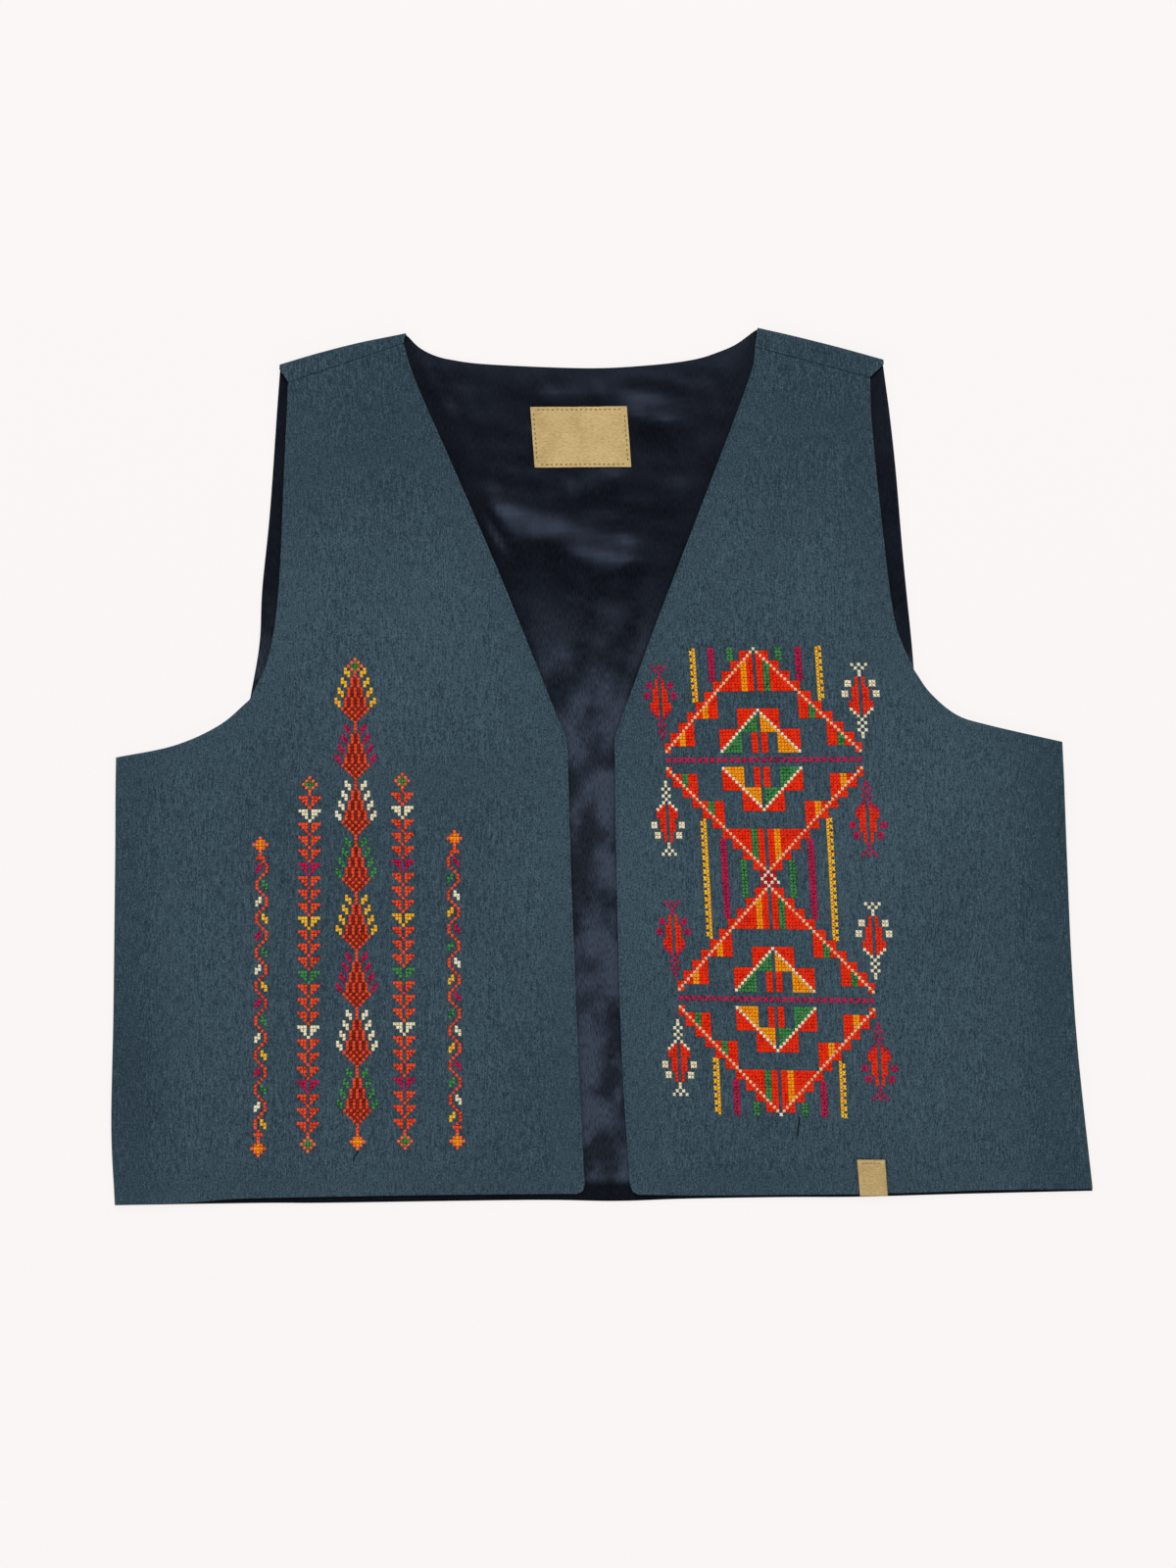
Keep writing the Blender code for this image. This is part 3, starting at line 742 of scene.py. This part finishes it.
def setIn(edge, towards):
    # an outer edge moved towards the middle of the piece by the lining's inset
    stride = 4
    spaced = edge[::stride]
    counts = [gridRows[stretch] // stride for stretch in ("side", "scoop", "armhole")]
    counts[-1] += 1
    inset = np.repeat([liningCut[stretch] for stretch in ("side", "scoop", "armhole")], counts)
    run = np.gradient(spaced, axis=0)
    run /= np.hypot(*run.T)[:, None]
    moved = spaced + np.column_stack([run[:, 1], -run[:, 0]]) * (inset * towards)[:, None]
    rows = np.arange(len(edge)) / stride
    return np.column_stack([np.interp(rows, np.arange(len(moved)), moved[:, k]) for k in (0, 1)])


def makeLining():
    right = setIn(outerEdge("right", "backArmhole"), 1)
    left = setIn(outerEdge("left", "backArmhole"), -1)
    rows = len(right) - 1
    columns = 2 * backCut["shoulderColumns"] + backCut["neckColumns"]

    def place(column, row):
        spots = backSpots(column, row, right, left)
        nearTop = np.maximum(1 - (rows - row) / liningCut["topRows"], 0)
        nearHem = np.maximum(1 - row / liningCut["hemRows"], 0)
        spots[:, 1] -= nearTop * mix(liningCut["neck"], liningCut["fold"], shoulderness(column))
        spots[:, 1] += nearHem * liningCut["hem"]
        return np.column_stack([spots, layers["liningBottom"] + liningRise(spots)])

    return layCloth("liningSatin", columns, rows, place, 1, layers["liningWall"], finishes["satin"], rim=0.15)


backCloth = makeBack()
liningSatin = makeLining()
print("back and lining are laid")


# neck label and hem tab, both bare

neckLabel = {
    "centre": (-11.3, 186.6), "width": 54.8, "length": 34.4, "turn": 0.3, "lean": 2.4,
    "columns": 42, "rows": 26, "cut": (57.0, 35.5), "pucker": 0.12, "puckerWave": 0.9, "puckerReach": 4,
}
hemTab = {
    "centre": 154.6, "width": 15.8, "length": 19.5, "turn": 5.0,
    "columns": 16, "turnSteps": 10, "flatSteps": 16, "turnShare": 0.2, "stitchHeight": 1.4,
    "cut": (16.2, 25.0),
}


def onLabel(x, y):
    turn = math.radians(neckLabel["turn"])
    cx, cy = neckLabel["centre"]
    cx = cx - y * neckLabel["lean"] / neckLabel["length"]
    turnedX = x * math.cos(turn) - y * math.sin(turn)
    turnedY = x * math.sin(turn) + y * math.cos(turn)
    spots = np.column_stack([cx + turnedX, cy + turnedY])
    fromEnd = (np.abs(y) - neckLabel["length"] / 2) / neckLabel["puckerReach"]
    pucker = neckLabel["pucker"] * np.sin(x * neckLabel["puckerWave"]) * np.exp(-fromEnd ** 2)
    resting = layers["liningTop"] + layers["gap"]
    lift = liningRise(spots) + resting + pucker + unevenness(spots, *waves["label"])
    return np.column_stack([spots, np.maximum(lift, resting)])


def makeNeckLabel():
    def place(column, row):
        x = (column / neckLabel["columns"] - 0.5) * neckLabel["width"]
        y = (row / neckLabel["rows"] - 0.5) * neckLabel["length"]
        return onLabel(x, y)

    return layCloth(
        "neckLabel", neckLabel["columns"], neckLabel["rows"], place, 1, layers["tapeWall"], finishes["tape"],
        rim=0.3,
    )


def hemAtTab():
    hem = frontPaths["left"]["hem"]
    return float(np.interp(hemTab["centre"], hem[:, 0], hem[:, 1]))


def onTab(side, share):
    # share runs from 0, below the hem, to 1, at the tab's sewn end
    clear = layers["gap"] + layers["tapeWall"]
    hemY = hemAtTab()
    turned = hemTab["turnShare"]
    angle = np.clip(share / turned, 0, 1) * math.pi / 2
    flat = np.clip((share - turned) / (1 - turned), 0, 1)
    y = np.where(share < turned, hemY - clear * np.cos(angle), hemY + hemTab["length"] * flat)
    x = hemTab["centre"] + side
    over = frontTop("left", np.column_stack([np.broadcast_to(x, y.shape), np.maximum(y, hemY)])) + clear + 0.1
    z = np.where(share < turned, layers["edgeTop"] + (clear + 0.1) * np.sin(angle), over)
    lean = math.tan(math.radians(hemTab["turn"])) * (hemY - y)
    return np.column_stack([x + lean, y, z])


def makeHemTab():
    steps = hemTab["turnSteps"] + hemTab["flatSteps"]

    def place(column, row):
        side = (column / hemTab["columns"] - 0.5) * hemTab["width"]
        turned = hemTab["turnShare"]
        turning = turned * (row - 1) / (hemTab["turnSteps"] - 1)
        beyond = turned + (1 - turned) * (row - hemTab["turnSteps"]) / hemTab["flatSteps"]
        spots = onTab(side, np.where(row <= hemTab["turnSteps"], np.maximum(turning, 0), beyond))
        spots[row == 0, 2] = layers["edgeTop"] - layers["clothWall"]
        return spots

    return layCloth(
        "hemTab", hemTab["columns"], steps, place, -1, layers["tapeWall"], finishes["tape"], rim=0.3
    )


labelTape = makeNeckLabel()
tabTape = makeHemTab()
print("label and tab are laid")


# stitches: one strand is modelled, and copied to each place where the thread shows

strandShape = {
    "sides": 4, "endDrop": -0.35, "shoulder": 0.31, "shoulderRise": 0.16, "middleRise": 0.42,
    # paintedLight runs from painted shade at a strand's dipping ends to painted highlight at its raised
    # middle
    "jitter": 0.045, "widths": (0.92, 1.08), "shades": (0.4, 1.04), "paintedLight": (-0.5, 0.2),
}
crossShape = {
    "reach": 0.53, "tallReach": 0.85, "upperLift": 0.8, "thickness": 0.5,
    "width": 0.95, "vineWidth": 0.94, "budWidth": 0.84,
}


def modelStrand():
    # lies along x, one unit long, with both ends dipping into the cloth
    bpy.ops.object.select_all(action="DESELECT")
    bpy.ops.mesh.primitive_cylinder_add(
        vertices=strandShape["sides"], radius=0.5, depth=1, end_fill_type="TRIFAN",
        rotation=(0, math.pi / 2, 0),
    )
    bpy.ops.object.transform_apply(location=False, rotation=True, scale=False)
    strand = bpy.context.object
    bpy.ops.object.mode_set(mode="EDIT")
    bpy.ops.mesh.select_all(action="DESELECT")
    bpy.ops.object.mode_set(mode="OBJECT")
    points = strand.data.vertices
    for edge in strand.data.edges:
        edge.select = abs(points[edge.vertices[0]].co.x - points[edge.vertices[1]].co.x) > 0.9
    bpy.ops.object.mode_set(mode="EDIT")
    bpy.ops.mesh.select_mode(type="EDGE")
    bpy.ops.mesh.subdivide(number_cuts=1)
    bpy.ops.mesh.select_all(action="SELECT")
    bpy.ops.mesh.quads_convert_to_tris()
    bpy.ops.mesh.normals_make_consistent(inside=False)
    bpy.ops.object.mode_set(mode="OBJECT")
    shape = np.array([point.co for point in points])
    faces = np.array([face.vertices for face in strand.data.polygons])
    bpy.data.objects.remove(strand, do_unlink=True)
    atTip = np.hypot(shape[:, 1], shape[:, 2]) < 0.01
    atEnd = (np.abs(shape[:, 0]) > 0.4) & ~atTip
    rise = np.where(atEnd, strandShape["shoulderRise"], strandShape["middleRise"])
    rise = np.where(atTip, strandShape["endDrop"], rise)
    shape[atEnd, 0] *= strandShape["shoulder"] / 0.5
    return shape, faces, rise


strandPoints, strandFaces, strandRise = modelStrand()
# painted light on each strand: shade where its ends dip into the cloth, highlight along its raised middle
strandPaintedLight = np.interp(
    strandRise, (strandShape["endDrop"], strandShape["middleRise"]), strandShape["paintedLight"]
)


def sew(name, stitches, surface, seed, width=crossShape["width"], thickness=crossShape["thickness"]):
    # stitches holds rows of start x, start y, end x, end y, lift and number of the thread's colour
    stitches = np.array(stitches, float)
    draw = np.random.default_rng(seed)
    slips = draw.normal(0, strandShape["jitter"], (len(stitches), 2, 2))
    ends = stitches[:, :4].reshape(-1, 2, 2) + slips
    middle = ends.mean(axis=1)
    run = ends[:, 1] - ends[:, 0]
    length = np.hypot(*run.T)
    ahead = run / length[:, None]
    aside = np.column_stack([-ahead[:, 1], ahead[:, 0]])
    base = surface(middle)
    near = 0.8
    slopeX = (surface(middle + (near, 0)) - base) / near
    slopeY = (surface(middle + (0, near)) - base) / near
    wide = width * draw.uniform(*strandShape["widths"], len(stitches))
    px = strandPoints[None, :, 0] * length[:, None]
    py = strandPoints[None, :, 1] * wide[:, None]
    offset = px[..., None] * ahead[:, None] + py[..., None] * aside[:, None]
    high = np.clip(strandRise, 0, None)[None] * (1 + stitches[:, 4:5]) + np.clip(strandRise, None, 0)[None]
    z = base[:, None] + offset[..., 0] * slopeX[:, None] + offset[..., 1] * slopeY[:, None]
    z = z + high + strandPoints[None, :, 2] * thickness
    spots = np.concatenate([middle[:, None] + offset, z[..., None]], axis=2).reshape(-1, 3) * mm
    count = len(strandPoints)
    faces = (strandFaces[None] + np.arange(len(stitches))[:, None, None] * count).reshape(-1, 3)
    mesh = bpy.data.meshes.new(name)
    mesh.from_pydata(spots.tolist(), [], faces.tolist())
    used = sorted(set(stitches[:, 5].astype(int)))
    for number in used:
        mesh.materials.append(threads[threadNames[number]])
    slots = np.searchsorted(used, stitches[:, 5].astype(int))
    mesh.polygons.foreach_set("material_index", np.repeat(slots, len(strandFaces)))
    shade = mesh.attributes.new("strandShade", "FLOAT", "POINT")
    # a random tone for each stitch, plus the strand's painted shade and painted highlight
    shades = draw.uniform(*strandShape["shades"], (len(stitches), 1)) + strandPaintedLight
    shade.data.foreach_set("value", shades.ravel())
    mesh.shade_smooth()
    piece = bpy.data.objects.new(name, mesh)
    bpy.context.scene.collection.objects.link(piece)
    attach(piece, "root")
    print(name, len(stitches), "stitches", len(faces), "triangles")
    return piece


def crossStitches(cells, spotOf):
    # each cell of a chart gets two crossing strands, the upper one lying over the lower; a tall gold one
    # reaches over nearly two rows
    rows, reach = [], crossShape["reach"]
    for (column, row), colour in cells.items():
        high = crossShape["tallReach"] if colour == "tallGold" else reach
        a, b = spotOf(column - reach, row - high), spotOf(column + reach, row + high)
        c, d = spotOf(column - reach, row + high), spotOf(column + reach, row - high)
        number = threadNames.index("gold" if colour == "tallGold" else colour)
        rows.append((*a, *b, 0.0, number))
        rows.append((*c, *d, crossShape["upperLift"], number))
    return rows


# left front: two stepped diamonds, one above the other, with buds at their sides

starChart = {
    "half": 30, "rows": 65, "firstRows": (0, 69), "barCrosses": 30, "barRows": (31.6, 33.4),
    "stripes": ((3, 4), (16, 17), (24, 25)),
    "bandInside": ((12, 1), (20, 13), (28, 21), (30, 29)),
    "upper": {"left": ("orange", "green"), "right": ("green", "orange")},
}
budChart = {
    "column": 31, "upperRow": 5, "lowerRow": 60,
    "stem": [
        (), (), (), (), (1,), (1,), (1,), (1, 2), (1, 2), (1, 2), (1, 2), (1, 2, 3), (1, 2, 3), (1, 2), (1,),
        (), (), (), (), (), (), (),
    ],
    "leaf": [
        (0, 2), (1,), (0,), (0,), (), (3, 4), (3, 4), (), (4, 5), (4, 5), (), (), (), (3,), (2,),
        (1,), (0,), (1,), (0,), (1,), (0,), (0,),
    ],
}


def starSpot(column, row):
    # the cloth's own grid of stitches, which lies very slightly turned and bowed
    tilt = -0.0143 + 0.000286 * row
    x = 86.2 + 0.1454 * row - 0.0002 * row ** 2 + 1.829 * column + (0.0025 - 0.0000167 * row) * column ** 2
    y = 66.5 - 1.920 * row - 0.000346 * row ** 2 - tilt * 1.829 * column
    return x, y


def halfStar(flip):
    # upper half of a diamond; the lower half is its mirror image with the two colours changed over
    cells = {(0, 0): "white"}
    for row in range(1, 31):
        widest = min(3 * math.ceil(row / 3) + 1, starChart["half"])
        inside = next(start for last, start in starChart["bandInside"] if row <= last)
        for side in (-1, 1):
            stripe, fill = starChart["upper"]["left" if side * flip < 0 else "right"]
            for a in range(inside, widest + 1):
                colour = "red"
                if a == row:
                    colour = "peach"
                elif row > a and any(a in pair for pair in starChart["stripes"]):
                    colour = stripe
                cells[(side * a, row)] = colour
            if row >= 18:
                for a in range(0, 7 if row < 24 else 13):
                    ring = row - 18
                    if a == ring:
                        cells[(side * a, row)] = "white"
                    elif a > ring:
                        cells[(side * a, row)] = "red"
                    elif a >= (1 if row <= 24 else 6):
                        cells[(side * a, row)] = fill
                    elif row >= 25 and a in (1, 2):
                        cells[(side * a, row)] = "red"
    return cells


def wholeStar(first):
    cells = {(a, first + row): colour for (a, row), colour in halfStar(1).items()}
    cells.update({(a, first + starChart["rows"] - row): colour for (a, row), colour in halfStar(-1).items()})
    return cells


def barStitches(first):
    # a row of crosses twice the usual size, from one side of a diamond to the other
    rows, number, edge = [], threadNames.index("magenta"), starChart["half"] + 0.5
    step = 2 * edge / starChart["barCrosses"]
    upper, lower = (first + row for row in starChart["barRows"])
    for count in range(starChart["barCrosses"]):
        left, right = step * count - edge, step * (count + 1) - edge
        rows.append((*starSpot(left, upper), *starSpot(right, lower), 0.0, number))
        rows.append((*starSpot(left, lower), *starSpot(right, upper), crossShape["upperLift"], number))
    return rows


def budCells(first):
    cells = {}
    for side in (-1, 1):
        for lower in (False, True):
            accent = "white" if (side > 0) != lower else "magenta"
            for step, (stem, leaf) in enumerate(zip(budChart["stem"], budChart["leaf"])):
                row = first + (budChart["lowerRow"] - step if lower else budChart["upperRow"] + step)
                for colour, places in (("red", stem), (accent, leaf)):
                    for place in places:
                        for sign in (-1, 1):
                            cells[(side * budChart["column"] + sign * place, row)] = colour
    return cells


def standingLines():
    # pairs of columns that stand on the steps, above, between and below the two diamonds
    spans = {
        "green": ((7, 8), (0, 3), (62, 72), (131, 134)),
        "magenta": ((13, 14), (0, 9), (56, 78), (125, 134)),
        "gold": ((19, 20), (0, 15), (50, 84), (119, 134)),
    }
    cells = {}
    for colour, (pair, *rows) in spans.items():
        for start, end in rows:
            for row in range(start, end + 1):
                for side in (-1, 1):
                    cells[(side * pair[0], row)] = colour
                    if colour != "gold":
                        cells[(side * pair[1], row)] = colour
                    elif (row + (side < 0)) % 2 == 0:
                        cells[(side * pair[1], row)] = "tallGold"
    joint = {65: (0,), 66: (-1, 1), 67: (-2, 2), 68: (-1, 1, 3), 69: (0,)}
    for row, places in joint.items():
        for a in range(-2, 3):
            cells[(a, row)] = "crimson"
        for a in places:
            cells[(a, row)] = "white"
    return cells


def onLeftFront(spots):
    return frontTop("left", spots)


def onRightFront(spots):
    return frontTop("right", spots)


threadPieces = {"left": [], "right": []}
upperFirst, lowerFirst = starChart["firstRows"]
upperStar, lowerStar, lines = wholeStar(upperFirst), wholeStar(lowerFirst), standingLines()
for cell in lines:
    upperStar.pop(cell, None)
    lowerStar.pop(cell, None)
upperRows = crossStitches(upperStar, starSpot) + barStitches(upperFirst)
lowerRows = crossStitches(lowerStar, starSpot) + barStitches(lowerFirst)
threadPieces["left"].append(sew("upperStarThreads", upperRows, onLeftFront, 21))
threadPieces["left"].append(sew("lowerStarThreads", lowerRows, onLeftFront, 22))
buds = {**budCells(upperFirst), **budCells(lowerFirst), **lines}
budRows = crossStitches(buds, starSpot)
threadPieces["left"].append(sew("budAndLineThreads", budRows, onLeftFront, 23, crossShape["budWidth"]))
print("left front is stitched")


# right front: five upright vines

vines = {
    "outer": {"kind": "bends", "top": (-192.6, -40.6), "bottomX": -193.9, "pitch": 1.933, "bow": 1.0},
    "leafOuter": {"kind": "leaves", "top": (-164.6, -6.5), "bottomX": -165.8, "pitch": 1.922, "bow": 1.3},
    "middle": {"kind": "tulips", "top": (-139.1, 60.5), "bottomX": -137.6, "pitch": 1.910, "bow": 1.6},
    "leafInner": {"kind": "leaves", "top": (-112.4, -4.5), "bottomX": -110.7, "pitch": 1.924, "bow": 1.2},
    "inner": {"kind": "bends", "top": (-82.8, -37.0), "bottomX": -81.1, "pitch": 1.925, "bow": 1.0},
}
mirroredVines = ("inner",)
vineRows = {"bends": 94, "leaves": 111, "tulips": 146}
columnPitch = 1.815


def knob(centre, inside, outline):
    cells = {}
    for row in range(-2, 3):
        for a in range(-2, 3):
            if abs(row) + abs(a) <= 2:
                cells[(a, centre + row)] = outline if abs(row) + abs(a) == 2 else inside
    return cells


def bendingVine():
    cells = {**knob(2, "orange", "salmon"), **knob(91, "orange", "salmon")}
    for cell in ((0, 5), (1, 7), (0, 86), (0, 88)):
        cells[cell] = "coral"
    for a in (-1, 0, 1):
        cells[(a, 6)] = cells[(a, 87)] = "coral"
    leaves = ("magenta", "green", "white", "gold")
    for bend in range(16):
        first, turn = 8 + 5 * bend, 1 if bend % 2 == 0 else -1
        reach = 2 if turn > 0 else -1
        for step in range(3):
            cells[(reach, first + step)] = "coral"
        cells[(1 if turn > 0 else 0, first + 3)] = "coral"
        cells[(0 if turn > 0 else 1, first + 4)] = "coral"
        shape = ((0,), (-1, 0), (-1,)) if turn > 0 else ((1,), (1, 2), (2,))
        for step, places in enumerate(shape):
            for a in places:
                cells[(a, first + step)] = leaves[bend % 4]
    return cells


def leafyVine():
    cells = {**knob(2, "green", "salmon"), **knob(108, "green", "salmon"), (0, 5): "coral"}
    accents = ["coral"]
    for accent in ("white", "magenta", "gold", "green", "white", "magenta"):
        accents += [accent, "coral", "coral", "coral"]
    for pair, colour in enumerate(accents):
        for step, places in enumerate(((1, 2, 3), (1, 2), (1,), (0,))):
            for a in places:
                cells[(a, 6 + 4 * pair + step)] = cells[(-a, 6 + 4 * pair + step)] = colour
    return cells


def tulipVine():
    cells = {(0, 0): "salmon", (0, 1): "green", (0, 2): "green", (0, 3): "green"}
    for a, row, colour in ((1, 1, "salmon"), (2, 2, "salmon"), (1, 2, "green"), (1, 3, "salmon")):
        cells[(a, row)] = cells[(-a, row)] = colour
    stems = (
        (0,), (0,), (0,), (1,), (1,), (1,), (0, 2), (0, 2), (0, 2), (1, 3), (1, 3), (1, 3),
        (0, 2, 4), (1, 3), (0, 2), (1,), (0,),
    )
    leaves = ((3,), (2, 3), (2,), (4,), (3, 4), (3,), (5,), (4, 5), (4,), (6,), (5, 6), (5,))
    colours = ("gold", "magenta", "white", "green", "gold", "magenta", "white", "green")
    for motif, colour in enumerate(colours):
        first = 3 + 17 * motif
        for step, places in enumerate(stems):
            # painted shade: dark red crosses fill the cells between the stems, in place of the shadowed cloth
            # there
            for a in range(max(places)):
                cells[(a, first + step)] = cells[(-a, first + step)] = "shadowRed"
            for a in places:
                for sign in (-1, 1):
                    if not (motif == 0 and step == 0):
                        cells[(sign * a, first + step)] = "coral"
        for step, places in enumerate(leaves):
            for a in places:
                cells[(a, first + step)] = cells[(-a, first + step)] = colour
    cells.update({(0, 139): "coral", (0, 140): "coral", **knob(143, "orange", "salmon")})
    return cells


vineCharts = {"bends": bendingVine(), "leaves": leafyVine(), "tulips": tulipVine()}


def sewVines():
    rows = []
    for name, about in vines.items():
        (topX, topY), count = about["top"], vineRows[about["kind"]]
        across = -columnPitch if name in mirroredVines else columnPitch

        def spot(column, row, about=about, topX=topX, topY=topY, count=count, across=across):
            share = row / (count - 1)
            x = mix(topX, about["bottomX"], share) + across * column
            return x, topY - about["pitch"] * row + about["bow"] * 4 * share * (1 - share)

        rows += crossStitches(vineCharts[about["kind"]], spot)
    return sew("vineThreads", rows, onRightFront, 24, crossShape["vineWidth"])


threadPieces["right"].append(sewVines())
print("right front is stitched")


# hand stitches along the edges, round the label and across the tab, and two loose thread ends

handStitches = {
    "edge": {"inset": 1.3, "spacing": 3.1, "length": 1.0, "width": 0.4},
    "label": {"inset": 1.7, "spacing": 2.7, "length": 1.7, "width": 0.5},
    "tab": {"inset": 2.0, "spacing": 2.2, "length": 1.5, "width": 0.45},
}


def alongPath(path, spacing, length, inset, towards):
    # short stitches beside a path, as start and end points
    along = np.concatenate([[0], np.cumsum(np.hypot(*np.diff(path, axis=0).T))])
    margin = spacing if len(path) > 2 else spacing / 2
    places = np.arange(2 * margin, along[-1] - margin, spacing)
    run = np.gradient(path, axis=0)
    run /= np.hypot(*run.T)[:, None]
    middle = np.column_stack([np.interp(places, along, path[:, k]) for k in (0, 1)])
    ahead = np.column_stack([np.interp(places, along, run[:, k]) for k in (0, 1)])
    middle = middle + np.column_stack([ahead[:, 1], -ahead[:, 0]]) * towards * inset
    return np.hstack([middle - ahead * length / 2, middle + ahead * length / 2])


def sewEdges():
    about = handStitches["edge"]
    for half, towards, surface in (("right", -1, onRightFront), ("left", 1, onLeftFront)):
        inner = frontPaths[half]["inner"]
        lines = alongPath(inner, about["spacing"], about["length"], about["inset"], towards)
        number = threadNames.index("navy")
        rows = np.hstack([lines, np.full((len(lines), 1), -0.5), np.full((len(lines), 1), number)])
        threadPieces[half].append(sew(half + "EdgeStitches", rows, surface, 31, about["width"], 0.25))


def labelTop(spots):
    turn = math.radians(-neckLabel["turn"])
    x, y = (spots - np.array(neckLabel["centre"])).T
    x, y = x * math.cos(turn) - y * math.sin(turn), x * math.sin(turn) + y * math.cos(turn)
    flat = onLabel(x + y * neckLabel["lean"] / neckLabel["length"], y)
    return flat[:, 2] + layers["tapeWall"]


def sewLabel():
    about = handStitches["label"]
    w, h = neckLabel["width"] / 2 - about["inset"], neckLabel["length"] / 2 - about["inset"]
    corners = np.array([(-w, -h), (w, -h), (w, h), (-w, h), (-w, -h)])
    rows = []
    for a, b in zip(corners, corners[1:]):
        side = np.array([a, b])
        for start, end in alongPath(side, about["spacing"], about["length"], 0, 1).reshape(-1, 2, 2):
            ends = onLabel(*np.array([start, end]).T)[:, :2].ravel()
            rows.append((*ends, -0.3, threadNames.index("brown")))
    return sew("labelStitches", rows, labelTop, 32, about["width"], 0.3)


def sewTab():
    about = handStitches["tab"]
    hemY = hemAtTab()
    y = hemY + hemTab["length"] - about["inset"]
    lean = math.tan(math.radians(hemTab["turn"])) * (hemY - y)
    start, end = (hemTab["centre"] + lean + side * (hemTab["width"] / 2 - 1.0) for side in (-1, 1))
    lines = alongPath(np.array([(start, y), (end, y)]), about["spacing"], about["length"], 0, 1)
    rows = [(*line, -0.3, threadNames.index("brown")) for line in lines]

    def onTheTab(spots):
        return onLeftFront(spots) + hemTab["stitchHeight"]

    return sew("tabStitches", rows, onTheTab, 33, about["width"], 0.3)


looseEnds = {
    "rightThreadEnd": [(-137.4, -217.6), (-138.2, -219.8), (-139.6, -221.6), (-139.9, -223.7)],
    "leftThreadEnd": [(111.9, -198.1), (112.2, -201.6), (111.5, -205.2), (111.6, -209.0)],
}


def layLooseEnd(name, points, surface):
    path = smoothPath(points, 14)
    bpy.ops.object.select_all(action="DESELECT")
    bpy.ops.mesh.primitive_circle_add(vertices=6, radius=0.28 * mm, fill_type="NGON")
    thread = bpy.context.object
    thread.name = thread.data.name = name
    height = surface(path) + 0.3
    height[0] -= 0.5
    spots = [(x * mm, y * mm, z * mm) for (x, y), z in zip(path, height)]
    thread.rotation_euler = (math.pi / 2, 0, 0)
    thread.location = spots[0]
    bpy.ops.object.transform_apply(location=True, rotation=True, scale=True)
    bpy.ops.object.mode_set(mode="EDIT")
    bpy.ops.mesh.select_all(action="SELECT")
    for before, after in zip(spots, spots[1:]):
        step = tuple(b - a for a, b in zip(before, after))
        bpy.ops.mesh.extrude_region_move(TRANSFORM_OT_translate={"value": step})
    bpy.ops.mesh.select_all(action="SELECT")
    bpy.ops.mesh.normals_make_consistent(inside=False)
    bpy.ops.object.mode_set(mode="OBJECT")
    thread.data.materials.append(threads["navy"])
    thread.data.shade_smooth()
    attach(thread, "root")
    return thread


sewEdges()
labelStitches, tabStitches = sewLabel(), sewTab()
threadPieces["right"].append(layLooseEnd("rightThreadEnd", looseEnds["rightThreadEnd"], onRightFront))
threadPieces["left"].append(layLooseEnd("leftThreadEnd", looseEnds["leftThreadEnd"], onLeftFront))
print("hand stitches are in")


# what stands for what

declareSheet(backCloth, "back_panel", "teal_cloth", *backCut["cut"])
declareSheet(liningSatin, "back_lining", "navy_satin", *liningCut["cut"], restsOn=["backCloth"])
for half, about in frontCloths.items():
    declareSheet(
        fronts[half], about["node"], "teal_cloth", *about["cut"], restsOn=["liningSatin"],
        withPieces=threadPieces[half],
    )
declareSheet(
    labelTape, "neck_label", "cotton_tape", *neckLabel["cut"], restsOn=["liningSatin"],
    withPieces=[labelStitches],
)
declareSheet(
    tabTape, "hem_tab", "cotton_tape", *hemTab["cut"], restsOn=["frontLeftCloth"], withPieces=[tabStitches]
)

print("the vest is dressed")
